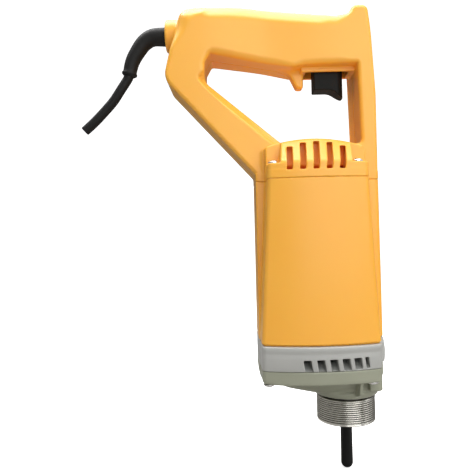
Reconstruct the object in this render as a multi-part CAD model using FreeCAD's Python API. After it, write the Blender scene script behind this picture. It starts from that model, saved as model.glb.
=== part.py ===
"""Hand-held electric drive unit of a concrete vibrator, as separate solids in millimetres.

Frame: origin on the output spindle's axis at the open end of the threaded hose collar, +Z up
towards the handle, +X towards the handle's front column, Y across the tool's thickness.
The tool is mirror-symmetric about Y = 0 but for its handle screws and lock button.
"""

import FreeCAD
import Part
import math
import os

V = FreeCAD.Vector

# ---- Heights along Z ----
COLLAR_END = 0.0
COLLAR_SHOULDER = 20.0
CASE_BOTTOM = 36.0
CASE_TOP = 45.0
VENT_TOP = 61.8
SEAM = 172.0
LEDGE = 182.0
DOME_SIDE = 194.4
STUB_TIP = -36.0

# ---- Plan sizes ----
MOTOR_X = -23.5
GEAR_MODULE = 1.0
PINION_TEETH = 9
GEAR_TEETH = 38
PANEL_HALF_BOTTOM = 38.3
PANEL_HALF_TOP = 32.0
PANEL_EDGE_Y = 41.0
PANEL_CROWN_Y = 48.8
SPINE_HALF = 21.0
LEFT_SIDE = 39.2
RIGHT_EDGE = 44.9
RIGHT_CROWN = 50.0
WALL = 3.0
FIT = 0.03

# ---- Screws ----
CASE_SCREW_XY = [(-34.0, 36.0), (35.0, 36.0)]
CASE_SCREW_R = 2.5
TOP_SCREW_X = 27.8
TOP_SCREW_Y = 37.5
TOP_SCREW_R = 2.0
SHELL_SCREW_XZ = [(-110.0, 258.0), (-66.0, 202.5), (-56.0, 287.5), (16.8, 222.0), (14.0, 284.0)]
SHELL_SCREW_R = 1.75

# ---- Handle ----
GRIP_HALF = 16.5
FIN_HALF = 5.0
LIP_HALF = 11.0
LIP_Z = 250.3
CORD_Z = 281.3
CORD_R = 3.5
BOSS_X = -124.6
CLAMP_X = (-107.0, -99.0)
CLAMP_SCREW_Z = (CORD_Z - 6.2, CORD_Z + 6.2)
GUARD_R = 6.7
GUARD_FLANGE_R = 8.6
GUARD_FLANGE_X = (-113.2, -111.0)
TRIGGER_SLOT = (-24.5, 6.5)
TRIGGER_X = (-18.5, 2.8)
TRIGGER_HALF = 7.5
TRIGGER_TRAVEL = 6.0
LOCK_X = -33.5
LOCK_Z = 270.0
LOCK_R = 4.5

# ---- Motor ----
STACK_Z = (74.0, 126.0)
ARMATURE_R = 21.0
STATOR_BORE = 21.6
STATOR_R = 36.0
SHAFT_R = 5.0
REAR_BEARING_Z = (163.0, 170.0)
FRONT_BEARING_Z = (46.0, 55.0)
COMMUTATOR_Z = (138.0, 156.0)
COMMUTATOR_R = 13.0
BRUSH_Z = 148.0
BRUSH_SIZE = (6.0, 8.0, 14.0)
BRUSH_PLAY = 0.08
HOLDER_HALF = 6.5
BRIDGE_Z = (158.0, 162.0)
FAN_R = 35.0
STATOR_SCREW_X = 32.8
END_TURN_Z = (67.0, 134.0)

# ---- Spindle ----
SPINDLE_BEARING_Z = (16.0, 27.0)
BUSH_Z = (40.0, 49.0)
GEAR_Z = (29.0, 39.0)
STUB_R = 4.25


# ======================= shape helpers =======================


def box(x0, x1, y0, y1, z0, z1):
    return Part.makeBox(x1 - x0, y1 - y0, z1 - z0, V(x0, y0, z0))


def rod(r, z0, z1, x=0.0, y=0.0):
    return Part.makeCylinder(r, z1 - z0, V(x, y, z0))


def rod_x(r, x0, x1, y, z):
    return Part.makeCylinder(r, x1 - x0, V(x0, y, z), V(1, 0, 0))


def rod_y(r, y0, y1, x, z):
    return Part.makeCylinder(r, y1 - y0, V(x, y0, z), V(0, 1, 0))


def tube(r_out, r_in, z0, z1, x=0.0, y=0.0):
    return rod(r_out, z0, z1, x, y).cut(rod(r_in, z0 - 1, z1 + 1, x, y))


def sector(r_in, r_out, a0, a1, z0, z1, x=0.0, y=0.0):
    """Part of a ring, from angle a0 to a1 in degrees."""
    base = V(x, y, z0)
    outer = Part.makeCylinder(r_out, z1 - z0, base, V(0, 0, 1), a1 - a0)
    inner = Part.makeCylinder(r_in, z1 - z0, base, V(0, 0, 1), a1 - a0)
    ring = outer.cut(inner)
    ring.rotate(base, V(0, 0, 1), a0)
    return ring


def revolved(profile, x=0.0, y=0.0):
    """A closed (radius, z) profile turned about the vertical line through x, y."""
    points = [V(x + r, y, z) for r, z in profile]
    face = Part.Face(Part.makePolygon(points + points[:1]))
    return face.revolve(V(x, y, 0), V(0, 0, 1), 360)


def rounded_wire(corners, place):
    """A closed wire through (a, b, radius) corners, each rounded; place maps (a, b) to 3-D."""
    count = len(corners)
    marks = []
    for i, (a, b, radius) in enumerate(corners):
        here = V(a, b, 0)
        before = V(*corners[i - 1][:2], 0) - here
        after = V(*corners[(i + 1) % count][:2], 0) - here
        before.normalize()
        after.normalize()
        half = before.getAngle(after) / 2
        if radius <= 0 or half > math.radians(89.9):
            marks.append((here, None, here))
            continue
        reach = radius / math.tan(half)
        middle = before + after
        middle.normalize()
        top = here + middle * (radius / math.sin(half) - radius)
        marks.append((here + before * reach, top, here + after * reach))
    edges = []
    for i, (start, top, end) in enumerate(marks):
        if top is not None:
            points = [place(p.x, p.y) for p in (start, top, end)]
            edges.append(Part.Arc(*points).toShape())
        following = marks[(i + 1) % count][0]
        if end.distanceToPoint(following) > 1e-6:
            edges.append(Part.makeLine(place(end.x, end.y), place(following.x, following.y)))
    return Part.Wire(edges)


def plate_xz(corners, y0, y1, inset=0.0):
    """A rounded outline in the XZ plane, optionally drawn in by inset, run from y0 to y1."""
    face = Part.Face(rounded_wire(corners, lambda a, b: V(a, y0, b)))
    if inset:
        face = face.makeOffset2D(-inset)
    return face.extrude(V(0, y1 - y0, 0))


def plate_yz(corners, x0, x1):
    face = Part.Face(rounded_wire(corners, lambda a, b: V(x0, a, b)))
    return face.extrude(V(x1 - x0, 0, 0))


def plate_xy(corners, z0, z1):
    face = Part.Face(rounded_wire(corners, lambda a, b: V(a, b, z0)))
    return face.extrude(V(0, 0, z1 - z0))


def loft(wires):
    return Part.makeLoft(wires, True, True)


def soften(shape, radius, wanted):
    """Fillets every edge that wanted(edge) picks."""
    return shape.makeFillet(radius, [e for e in shape.Edges if wanted(e)])


def in_plane(edge, axis, value, tolerance=1e-3):
    """True if the whole edge lies where its axis coordinate equals value."""
    low = getattr(edge.BoundBox, axis + "Min")
    high = getattr(edge.BoundBox, axis + "Max")
    return abs(low - value) < tolerance and abs(high - value) < tolerance


def joined(shapes):
    first = shapes[0]
    return first.fuse(shapes[1:]).removeSplitter() if len(shapes) > 1 else first


def mirrored_y(shape):
    return shape.mirror(V(0, 0, 0), V(0, 1, 0))


def both_sides(shape):
    """The shape and its mirror image across Y = 0."""
    return [shape, mirrored_y(shape)]


def smooth_curve(points):
    curve = Part.BSplineCurve()
    curve.interpolate([V(*p) for p in points])
    return curve


def pipe(points, radius):
    """A round tube of constant radius along a smooth curve through points."""
    curve = smooth_curve(points)
    path = Part.Wire(curve.toShape())
    start = V(*points[0])
    heading = curve.tangent(curve.FirstParameter)[0]
    ring = Part.Wire(Part.Circle(start, heading, radius).toShape())
    return path.makePipeShell([ring], True, False)


def coil_spring(wire_r, mean_r, pitch, length, start, axis):
    """A helical compression spring from start along axis."""
    helix = Part.makeHelix(pitch, length - 2 * wire_r, mean_r)
    ring = Part.Wire(Part.Circle(V(mean_r, 0, 0), V(0, 1, 0), wire_r).toShape())
    spring = Part.Wire(helix).makePipeShell([ring], True, True)
    spring.translate(V(0, 0, wire_r))
    spring.Placement = FreeCAD.Placement(V(*start), FreeCAD.Rotation(V(0, 0, 1), V(*axis))).multiply(
        spring.Placement
    )
    return spring


def pan_screw(shank_r, length, head_r, head_h, slot_w):
    """A pan-head screw pointing down, its head's underside at Z = 0, with a cross recess."""
    shank = rod(shank_r, -length, 0.0)
    head = soften(rod(head_r, 0.0, head_h), head_h * 0.55, lambda e: in_plane(e, "Z", head_h))
    bar = head_r * 0.62
    depth = head_h * 0.55
    for across, along in ((slot_w / 2, bar), (bar, slot_w / 2)):
        head = head.cut(box(-across, across, -along, along, head_h - depth, head_h + 1))
    return joined([shank, head])


def placed(shape, x, y, z, axis=(0, 0, 1)):
    """A copy of a shape drawn at the origin, moved to x, y, z with its +Z turned to axis."""
    copy = shape.copy()
    copy.Placement = FreeCAD.Placement(V(x, y, z), FreeCAD.Rotation(V(0, 0, 1), V(*axis)))
    return copy


# ======================= body outline =======================


def body_corners(half, inset=0.0):
    """The body's plan outline, for one half-width of its front panel."""
    foot = half + 0.6
    left = LEFT_SIDE - inset
    panel = half - inset
    edge_y = PANEL_EDGE_Y - inset
    crown_y = PANEL_CROWN_Y - inset
    spine = SPINE_HALF - inset
    right = 0.2 * (half - PANEL_HALF_TOP) - inset
    front = [
        (-left, -spine, 0.35),
        (-(foot - inset), -spine, 0.35),
        (-panel, -edge_y, 2.5),
        (0.0, -crown_y, 100.0),
        (panel, -edge_y, 2.5),
        (foot - inset, -spine, 1.5),
        (RIGHT_EDGE + right, -spine, 3.0),
    ]
    side = [(RIGHT_CROWN + right, 0.0, 45.0)]
    back = [(a, -b, r) for a, b, r in reversed(front)]
    return [(MOTOR_X + a, b, r) for a, b, r in front + side + back]


def body_wire(half, z, inset=0.0):
    return rounded_wire(body_corners(half, inset), lambda a, b: V(a, b, z))


def body_block(z0, z1, half0, half1, inset0=0.0, inset1=None):
    inset1 = inset0 if inset1 is None else inset1
    return loft([body_wire(half0, z0, inset0), body_wire(half1, z1, inset1)])


def panel_half(z):
    """The front panel's half-width at a height."""
    share = (z - VENT_TOP) / (SEAM - VENT_TOP)
    return PANEL_HALF_BOTTOM + share * (PANEL_HALF_TOP - PANEL_HALF_BOTTOM)


# ======================= grey castings =======================


def vent_slots():
    """Six leaning exhaust slots, cut up from the vent ring's lower edge, front and back."""
    lean = 1.2
    cuts = []
    for k in range(6):
        left = MOTOR_X - 10.6 + 8.1 * k
        width = 5.0 if k < 5 else 2.6
        top = 52.4 + 0.2 * k
        corners = [
            (left, CASE_TOP - 1, 0.0),
            (left + width, CASE_TOP - 1, 0.0),
            (left + width - lean, top, 0.6),
            (left - lean, top, 0.6),
        ]
        depth = 24.0 if k < 5 else 33.0
        cuts += both_sides(plate_xz(corners, -55.0, -depth))
    return cuts


def vent_ring():
    """Fan chamber casting: wall with exhaust slots, and the plate that carries two bearings."""
    swell = -0.9
    lower = body_block(CASE_TOP, 54.0, PANEL_HALF_BOTTOM, PANEL_HALF_BOTTOM, 0.9, swell)
    upper = body_block(54.0, VENT_TOP, PANEL_HALF_BOTTOM, PANEL_HALF_BOTTOM, swell, 0.0)
    plate_top = 49.0
    chamber = rod(36.3, plate_top, VENT_TOP + 1, MOTOR_X)
    ring = joined([lower, upper]).cut([chamber] + vent_slots())
    bearing_boss = rod(18.0, CASE_TOP, FRONT_BEARING_Z[1], MOTOR_X)
    bush_boss = rod(10.0, BUSH_Z[0], plate_top + 1.5)
    ring = joined([ring, bearing_boss, bush_boss])
    holes = [
        rod(15.0 + FIT, FRONT_BEARING_Z[0], FRONT_BEARING_Z[1] + 1, MOTOR_X),
        rod(7.5, BUSH_Z[0] - 1, FRONT_BEARING_Z[0] + 1, MOTOR_X),
        rod(7.0 + FIT, BUSH_Z[0] - 1, BUSH_Z[1]),
    ]
    for x, y in CASE_SCREW_XY:
        holes += both_sides(rod(CASE_SCREW_R + 0.2, CASE_TOP - 1, VENT_TOP + 1, MOTOR_X + x, y))
    return ring.cut(holes)


def hopper():
    """The sloping underside between the flange and the nose."""

    def ring(x0, x1, y, r, z):
        corners = [(x0, -y, r), (x1, -y, r), (x1, y, r), (x0, y, r)]
        return rounded_wire(corners, lambda a, b: V(a, b, z))

    right = 4.0
    upper = loft([ring(-56.5, right, 31.0, 9.0, CASE_BOTTOM), ring(-50.0, right, 28.5, 9.0, 30.5)])
    lower = loft([ring(-50.0, right, 28.5, 9.0, 30.5), ring(-25.0, right, 17.0, 9.0, 22.5)])
    return [upper, lower]


def gear_case():
    """Nose casting: flange, sloping hopper, round nose, ribs, and the gear chamber inside."""
    lip_z = CASE_BOTTOM + 1.5
    flange = body_block(lip_z, CASE_TOP, PANEL_HALF_BOTTOM, PANEL_HALF_BOTTOM, 1.0, 0.9)
    lip = body_block(CASE_BOTTOM, lip_z, PANEL_HALF_BOTTOM, PANEL_HALF_BOTTOM, 2.2, 1.0)
    nose = revolved([(0, COLLAR_SHOULDER), (22.6, COLLAR_SHOULDER), (25.0, 24.0), (25.0, 37.0), (0, 37.0)])
    rib_corners = [
        (-22.0, 37.0, 0.0),
        (-40.0, 37.0, 0.0),
        (-34.0, 31.0, 6.0),
        (-23.8, 22.2, 0.0),
        (-22.0, 22.2, 0.0),
    ]
    rib = plate_yz(rib_corners, 2.4, 4.4)
    case = joined([flange, lip, nose] + hopper() + both_sides(rib))
    floor = 27.5
    cuts = [
        rod(21.6, floor, CASE_TOP + 1),
        rod(20.0 + FIT, COLLAR_SHOULDER - 1, 28.0 + FIT),
        rod(13.0, floor, CASE_TOP + 1, MOTOR_X),
        box(MOTOR_X - 24.0, MOTOR_X + 10.0, -21.0, 21.0, 38.0, CASE_TOP + 1),
    ]
    for x, y in CASE_SCREW_XY:
        cuts += both_sides(rod(CASE_SCREW_R + 0.2, CASE_BOTTOM - 1, CASE_TOP + 1, MOTOR_X + x, y))
    return case.cut(cuts)


def hose_collar():
    """Steel collar: M42 outside for the hose nut, bearing seat and seal seat inside."""
    profile = [
        (16.0, COLLAR_END),
        (20.0, COLLAR_END),
        (21.0, 1.0),
        (21.0, 18.3),
        (19.7, 18.8),
        (19.7, COLLAR_SHOULDER),
        (20.0, COLLAR_SHOULDER),
        (20.0, 28.0),
        (17.5 + FIT, 28.0),
        (17.5 + FIT, 16.0),
        (12.0, 16.0),
        (12.0, 14.0),
        (14.0 + FIT, 14.0),
        (14.0 + FIT, 7.0),
        (16.0, 7.0),
    ]
    return revolved(profile)


def gear_case_screws():
    """Four long screws up through the gear case and vent ring into the motor housing."""
    screws = []
    for x, y in CASE_SCREW_XY:
        for side in (-1, 1):
            screw = pan_screw(CASE_SCREW_R, 44.0, 3.7, 2.2, 1.1)
            screws.append(placed(screw, MOTOR_X + x, side * y, CASE_BOTTOM, (0, 0, -1)))
    return Part.Compound(screws)


# ======================= motor housing =======================


def motor_housing():
    """Moulded barrel: four screw bosses at each end, and the brush and bearing bridge."""
    outer = body_block(VENT_TOP, SEAM, PANEL_HALF_BOTTOM, PANEL_HALF_TOP)
    inner = body_block(VENT_TOP - 1, SEAM + 1, PANEL_HALF_BOTTOM, PANEL_HALF_TOP, WALL)
    shell = outer.cut(inner)
    fixtures = []
    for x, y in CASE_SCREW_XY:
        fixtures += both_sides(rod(4.8, VENT_TOP, 84.0, MOTOR_X + x, y))
    for side in (-1, 1):
        fixtures += both_sides(rod(4.6, 154.0, SEAM, MOTOR_X + side * TOP_SCREW_X, TOP_SCREW_Y))
    bridge = body_block(BRIDGE_Z[0], BRIDGE_Z[1], PANEL_HALF_TOP + 0.6, PANEL_HALF_TOP + 0.6)
    for side in (-1, 1):
        fixtures.append(rod(3.6, STACK_Z[1], BRIDGE_Z[0] + 1, MOTOR_X + side * STATOR_SCREW_X))
    windows = [
        sector(17.5, 28.0, a, a + 50, BRIDGE_Z[0] - 1, BRIDGE_Z[1] + 1, MOTOR_X)
        for a in (-65, 15, 115, 195)
    ]
    bridge = bridge.cut(windows)
    seat = rod(15.5, BRIDGE_Z[0], REAR_BEARING_Z[1] + 0.6, MOTOR_X)
    stator_land = tube(60.0, STATOR_R + FIT, STACK_Z[0] + 6, STACK_Z[1] - 6, MOTOR_X)
    ribs = [
        box(MOTOR_X + x - 1.5, MOTOR_X + x + 1.5, -50, 50, STACK_Z[0] + 4, STACK_Z[1] - 4)
        for x in (-20.0, 0.0, 20.0)
    ]
    ribs = [r.common(stator_land) for r in ribs]
    body = joined([shell] + [f.common(outer) for f in fixtures + [bridge, seat] + ribs])
    cuts = [rod(12.5 + FIT, REAR_BEARING_Z[0], REAR_BEARING_Z[1] + 2, MOTOR_X)]
    cuts.append(rod(7.5, BRIDGE_Z[0] - 1, REAR_BEARING_Z[0] + 1, MOTOR_X))
    for x, y in CASE_SCREW_XY:
        cuts += both_sides(rod(CASE_SCREW_R + 0.05, VENT_TOP - 1, 81.0, MOTOR_X + x, y))
    for side in (-1, 1):
        hole = rod(TOP_SCREW_R + 0.05, 157.0, SEAM + 1, MOTOR_X + side * TOP_SCREW_X, TOP_SCREW_Y)
        cuts += both_sides(hole)
        cuts.append(rod(1.65, STACK_Z[1] - 1, STACK_Z[1] + 34.0, MOTOR_X + side * STATOR_SCREW_X))
    return body.cut(cuts)


# ======================= handle =======================

FRAME_OUTLINE = [
    (-62.7, SEAM, 0.0),
    (-62.7, 177.0, 4.0),
    (-125.2, 245.5, 13.0),
    (-112.9, 296.0, 9.0),
    (-91.5, 296.0, 5.0),
    (-91.5, 264.0, 6.0),
    (-96.3, 256.0, 4.0),
    (-96.3, 243.9, 8.0),
    (-41.0, 197.4, 4.0),
    (11.7, 197.4, 3.0),
    (10.2, 256.0, 6.0),
    (5.0, 264.0, 6.0),
    (5.0, 289.0, 5.0),
    (10.0, 294.0, 5.0),
    (17.9, 294.0, 3.5),
    (20.4, 272.0, 80.0),
    (22.6, 232.0, 120.0),
    (22.6, SEAM, 0.0),
]

GRIP_OUTLINE = [
    (-103.0, 296.3, 0.0),
    (-68.0, 297.2, 150.0),
    (-4.0, 288.6, 25.0),
    (17.0, 288.6, 0.0),
    (17.0, 253.6, 0.0),
    (-27.0, 253.6, 3.0),
    (-34.0, 252.2, 8.0),
    (-94.0, 263.2, 0.0),
    (-103.0, 263.2, 0.0),
]

FIN_OUTLINE = [
    (-44.0, 257.0, 0.0),
    (-36.2, 250.8, 7.0),
    (-30.9, 240.1, 2.1),
    (-25.9, 240.1, 2.1),
    (-25.6, 257.0, 0.0),
]

ARCH_OUTLINE = [
    (MOTOR_X - 33.0, SEAM, 0.0),
    (MOTOR_X + 33.0, SEAM, 0.0),
    (MOTOR_X + 33.0, DOME_SIDE, 0.0),
    (MOTOR_X, 204.8, 100.0),
    (MOTOR_X - 33.0, DOME_SIDE, 0.0),
]


def cap_profile(inset=0.0):
    """The cap's side view: upright front, then a slope back to the dome."""
    front = [
        (-48.0 + inset, SEAM - 1, 0.0),
        (-48.0 + inset, LEDGE, 0.0),
        (-31.0 + inset, 199.0, 4.0),
        (-26.0 + inset, 206.0 - inset, 0.0),
    ]
    return front + [(-a, z, r) for a, z, r in reversed(front)]


def cap_block(inset=0.0):
    """The rounded cap over the motor's top end, drawn in by inset."""
    prism = body_block(SEAM, 206.0, PANEL_HALF_TOP, PANEL_HALF_TOP - 1.6, inset)
    arch = plate_xz(ARCH_OUTLINE, -60, 60, inset)
    slope = plate_yz(cap_profile(inset), -80, 40)
    return prism.common(arch).common(slope)


def frame_plate(half, inset=0.0, radius=0.0):
    """The flat D-frame of the handle: rear block, strut, column and horn."""
    plate = plate_xz(FRAME_OUTLINE, -half, half, inset)
    if radius:
        plate = soften(plate, radius, lambda e: on_faces(e, half) and e.BoundBox.ZMax > SEAM + 0.5)
    return plate


def on_faces(edge, half):
    return in_plane(edge, "Y", -half) or in_plane(edge, "Y", half)


def grip_bar(half, inset=0.0, radius=0.0):
    plate = plate_xz(GRIP_OUTLINE, -half, half, inset)
    if radius:
        plate = soften(plate, radius, lambda e: on_faces(e, half))
    return plate


def handle_outer():
    spine_base = body_block(SEAM, 178.0, PANEL_HALF_TOP, PANEL_HALF_TOP)
    fin = soften(plate_xz(FIN_OUTLINE, -FIN_HALF, FIN_HALF), 1.6, lambda e: on_faces(e, FIN_HALF))
    lip = box(-28.0, 11.0, -LIP_HALF, LIP_HALF, LIP_Z, 256.0)
    boss = rod_x(11.5, BOSS_X, -104.0, 0.0, CORD_Z)
    boss = soften(boss, 1.5, lambda e: in_plane(e, "X", BOSS_X))
    frame = frame_plate(SPINE_HALF, radius=3.2)
    return joined([frame, grip_bar(GRIP_HALF, radius=8.5), fin, lip, boss, cap_block(), spine_base])


def handle_cavity():
    """Everything the moulded shells leave empty inside."""
    lower = body_block(SEAM - 1, 178.0, PANEL_HALF_TOP, PANEL_HALF_TOP, WALL)
    pockets = []
    for side in (-1, 1):
        x = MOTOR_X + side * 28.0
        pockets += both_sides(box(x - 7.5, x + 7.5, -60.0, -26.0, SEAM - 2, 210.0))
    cap = cap_block(WALL).cut(pockets)
    return joined(
        [
            frame_plate(SPINE_HALF - WALL, WALL),
            grip_bar(GRIP_HALF - WALL, WALL, 4.0),
            cap,
            lower.cut(pockets),
        ]
    )


def grille_slots():
    """Five upright air slots in the cap, front and back, following its arch at the top."""
    half = 1.95
    low = 177.4
    slots = []
    for k in range(-2, 3):
        x = MOTOR_X + 8.7 * k
        top = 197.2 - 0.95 * k * k
        corners = [(x - half, low, 0.8), (x + half, low, 0.8), (x + half, top, 0.8), (x - half, top, 0.8)]
        slots += both_sides(plate_xz(corners, -60.0, -27.0))
    return slots


def handle_shell(side):
    """One moulded half of the handle; side is -1 for the right shell and 1 for the left."""
    whole = handle_outer()
    shell = whole.cut(handle_cavity())
    boss_r = 3.6
    bosses = [rod_y(boss_r, -SPINE_HALF, SPINE_HALF, x, z).common(whole) for x, z in SHELL_SCREW_XZ]
    if side < 0:
        bosses.append(box(*CLAMP_X, -19.0, -CORD_R - FIT, CORD_Z - 9.5, CORD_Z + 9.5).common(whole))
    baffle = box(MOTOR_X - 22.0, MOTOR_X + 22.0, -14.0, -12.0, LEDGE - 0.5, 210.0)
    baffles = [b.common(whole) for b in both_sides(baffle)]
    shell = joined([shell] + bosses + baffles)
    flange_x0, flange_x1 = GUARD_FLANGE_X
    cuts = [
        rod_x(GUARD_R + 0.1, -130.0, flange_x1, 0.0, CORD_Z),
        rod_x(GUARD_R + 0.5, -130.0, BOSS_X + 1.0, 0.0, CORD_Z),
        rod_x(GUARD_FLANGE_R + 0.1, flange_x0 - 0.1, flange_x1 + 0.1, 0.0, CORD_Z),
        rod_x(CORD_R + FIT, flange_x0, -95.0, 0.0, CORD_Z),
    ]
    for z in CLAMP_SCREW_Z:
        cuts.append(rod_y(1.45, -14.0, 0.0, sum(CLAMP_X) / 2, z))
    slot_half = TRIGGER_HALF + 1.0
    cuts.append(box(*TRIGGER_SLOT, -slot_half, slot_half, LIP_Z - 1.0, 259.0))
    for x, z in SHELL_SCREW_XZ:
        near_face = shell_face(x, z)
        cuts.append(rod_y(SHELL_SCREW_R + 0.05, -near_face + 4.0, 30.0, x, z))
        cuts.append(rod_y(3.1, near_face - 3.0, 30.0, x, z))
    cuts.append(rod_y(LOCK_R + 0.08, 5.0, 30.0, LOCK_X, LOCK_Z))
    cuts += grille_slots()
    for pocket_side in (-1, 1):
        x = MOTOR_X + pocket_side * 29.1
        cuts += both_sides(box(x - 5.6, x + 5.6, -60.0, -29.0, LEDGE, 212.0))
        screw_x = MOTOR_X + pocket_side * TOP_SCREW_X
        cuts += both_sides(rod(TOP_SCREW_R + 0.25, SEAM - 1, LEDGE + 1, screw_x, -TOP_SCREW_Y))
    shell = shell.cut(cuts)
    half_space = box(-200, 100, 0, 100, 100, 320)
    if side < 0:
        half_space = mirrored_y(half_space)
    return shell.common(half_space)


def handle_mount_screws():
    """Four screws down through the cap's corner pockets into the motor housing."""
    screws = []
    for side in (-1, 1):
        for y in (-TOP_SCREW_Y, TOP_SCREW_Y):
            screw = pan_screw(TOP_SCREW_R, 24.0, 3.75, 2.6, 1.1)
            screws.append(placed(screw, MOTOR_X + side * TOP_SCREW_X, y, LEDGE))
    return Part.Compound(screws)


def shell_face(x, z):
    """Half the handle's thickness at one of its shell screws."""
    return GRIP_HALF if z > 270 and -90 < x < 5 else SPINE_HALF


def handle_shell_screws():
    """Five sunk screws that draw the left shell onto the right one."""
    screws = []
    for x, z in SHELL_SCREW_XZ:
        face = shell_face(x, z)
        screw = pan_screw(SHELL_SCREW_R, 2 * face - 7.5, 2.9, 2.2, 0.9)
        screws.append(placed(screw, x, face - 3.0, z, (0, 1, 0)))
    return Part.Compound(screws)


# ======================= switch gear =======================

SWITCH_X = (-26.0, 5.0)
SWITCH_Z = (266.5, 284.0)
PLUNGER_X = -10.0
SPRING_WELL_TOP = 273.0
FLANGE_TOP = 258.9


def trigger():
    """Finger trigger with a hooked front, a retaining flange and a plunger into the switch."""
    x0, x1 = TRIGGER_X
    outline = [
        (x0, FLANGE_TOP, 0.0),
        (x0, 239.0, 1.0),
        (-6.0, 239.0, 10.0),
        (x1, 232.6, 0.8),
        (x1, FLANGE_TOP, 0.0),
    ]
    paddle = plate_xz(outline, -TRIGGER_HALF, TRIGGER_HALF)
    half = TRIGGER_HALF
    plan = [(x0, -half, 0.8), (x1, -half, 6.0), (x1, half, 6.0), (x0, half, 0.8)]
    paddle = paddle.common(plate_xy(plan, 225.0, 265.0))
    overlap = 1.5
    flange_low = FLANGE_TOP - 2.0
    flange = box(TRIGGER_SLOT[0] - overlap, TRIGGER_SLOT[1] + overlap, -10.0, 10.0, flange_low, FLANGE_TOP)
    plunger = box(PLUNGER_X - 2.5, PLUNGER_X + 2.5, -2.5, 2.5, FLANGE_TOP - 1, 270.0)
    return joined([paddle, flange, plunger])


def trigger_spring():
    """Return spring between the trigger's flange and the switch, round the plunger."""
    gap = 0.02
    length = SPRING_WELL_TOP - FLANGE_TOP - 2 * gap
    return coil_spring(0.45, 4.4, 2.8, length, (PLUNGER_X, 0, FLANGE_TOP + gap), (0, 0, 1))


def switch_body():
    """Snap-action switch that fills the grip above the trigger."""
    half = GRIP_HALF - WALL - FIT
    body = box(*SWITCH_X, -half, half, *SWITCH_Z)
    body = soften(body, 3.2, lambda e: in_plane(e, "Z", SWITCH_Z[1]) and abs(e.BoundBox.YLength) < 0.1)
    well = rod(5.4, SWITCH_Z[0] - 1, SPRING_WELL_TOP, PLUNGER_X)
    bore = box(PLUNGER_X - 2.6, PLUNGER_X + 2.6, -2.6, 2.6, SPRING_WELL_TOP - 1, 277.0)
    return body.cut([well, bore])


def lock_button():
    """Round lock-on button in the left shell, with a retaining flange and a peg."""
    cap = rod_y(LOCK_R, 11.0, GRIP_HALF + 3.0, LOCK_X, LOCK_Z)
    cap = soften(cap, 0.8, lambda e: in_plane(e, "Y", GRIP_HALF + 3.0))
    flange = rod_y(6.0, 11.0, 13.2, LOCK_X, LOCK_Z)
    peg = rod_y(2.5, 2.0, 12.0, LOCK_X, LOCK_Z)
    return joined([cap, flange, peg])


def suppressor_capacitor():
    body = box(-64.0, -43.0, -9.0, 9.0, 262.0, 277.0)
    return soften(body, 1.5, lambda e: True)


# ======================= cord =======================

CORD_START = [(-95.0, 0, CORD_Z), (-104.0, 0, CORD_Z), (-113.0, 0, CORD_Z)]

GUARD_PATH = [
    (-125.2, 0, CORD_Z),
    (-134.3, 0, 281.0),
    (-140.5, 0, 277.5),
    (-145.6, 0, 271.0),
    (-149.8, 0, 263.3),
    (-152.4, 0, 253.2),
]

CABLE_PATH = [
    (-158.7, 0, 243.3),
    (-164.4, 0, 235.0),
    (-171.3, 0, 227.4),
    (-178.3, 0, 220.3),
    (-185.7, 0, 213.8),
]


def cord_guard():
    """Rubber bend protector: tail in the handle's boss, curved taper, and a bead at its end."""
    curve = smooth_curve(GUARD_PATH)
    first, last = curve.FirstParameter, curve.LastParameter
    rings = []
    steps = 8
    for i in range(steps + 1):
        t = first + (last - first) * i / steps
        radius = GUARD_R - 1.9 * i / steps
        rings.append(Part.Wire(Part.Circle(curve.value(t), curve.tangent(t)[0], radius).toShape()))
    sleeve = Part.makeLoft(rings, True)
    tail = rod_x(GUARD_R, -125.3, -113.0, 0.0, CORD_Z)
    flange = rod_x(GUARD_FLANGE_R, *GUARD_FLANGE_X, 0.0, CORD_Z)
    end = curve.value(last)
    heading = curve.tangent(last)[0]
    bead = Part.makeCylinder(5.3, 2.2, end - heading * 0.1, heading)
    bead = soften(bead, 0.8, lambda e: True)
    body = joined([sleeve, tail, flange, bead])
    return body.cut(pipe(CORD_START + GUARD_PATH + CABLE_PATH, CORD_R + FIT))


def power_cord():
    """Two-core rubber cable from the clamp out through the guard, cut clean at its far end."""
    return pipe(CORD_START + GUARD_PATH + CABLE_PATH, CORD_R)


def cord_clamp():
    """Moulded bar that presses the cord against the right shell."""
    bar = box(CLAMP_X[0] + 0.5, CLAMP_X[1] - 0.5, CORD_R + FIT, 6.8, CORD_Z - 9.2, CORD_Z + 9.2)
    bar = soften(bar, 1.0, lambda e: in_plane(e, "Y", 6.8))
    holes = [rod_y(1.6, 0.0, 8.0, sum(CLAMP_X) / 2, z) for z in CLAMP_SCREW_Z]
    return bar.cut(holes)


def cord_clamp_screws():
    screws = []
    for z in CLAMP_SCREW_Z:
        screw = pan_screw(1.4, 18.0, 2.5, 1.8, 0.8)
        screws.append(placed(screw, sum(CLAMP_X) / 2, 6.8, z, (0, 1, 0)))
    return Part.Compound(screws)


def mains_wires():
    """Live and neutral cores from the cord's inner end to the switch's rear face."""
    wires = []
    for side in (-1, 1):
        wires.append(
            pipe(
                [
                    (-94.4, side * 1.6, CORD_Z),
                    (-88.0, side * 4.0, CORD_Z),
                    (-72.0, side * 5.0, 280.6),
                    (-50.0, side * 5.0, 280.6),
                    (-34.0, side * 4.5, 280.6),
                    (SWITCH_X[0] - FIT, side * 4.5, 280.6),
                ],
                1.2,
            )
        )
    return Part.Compound(wires)


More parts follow.
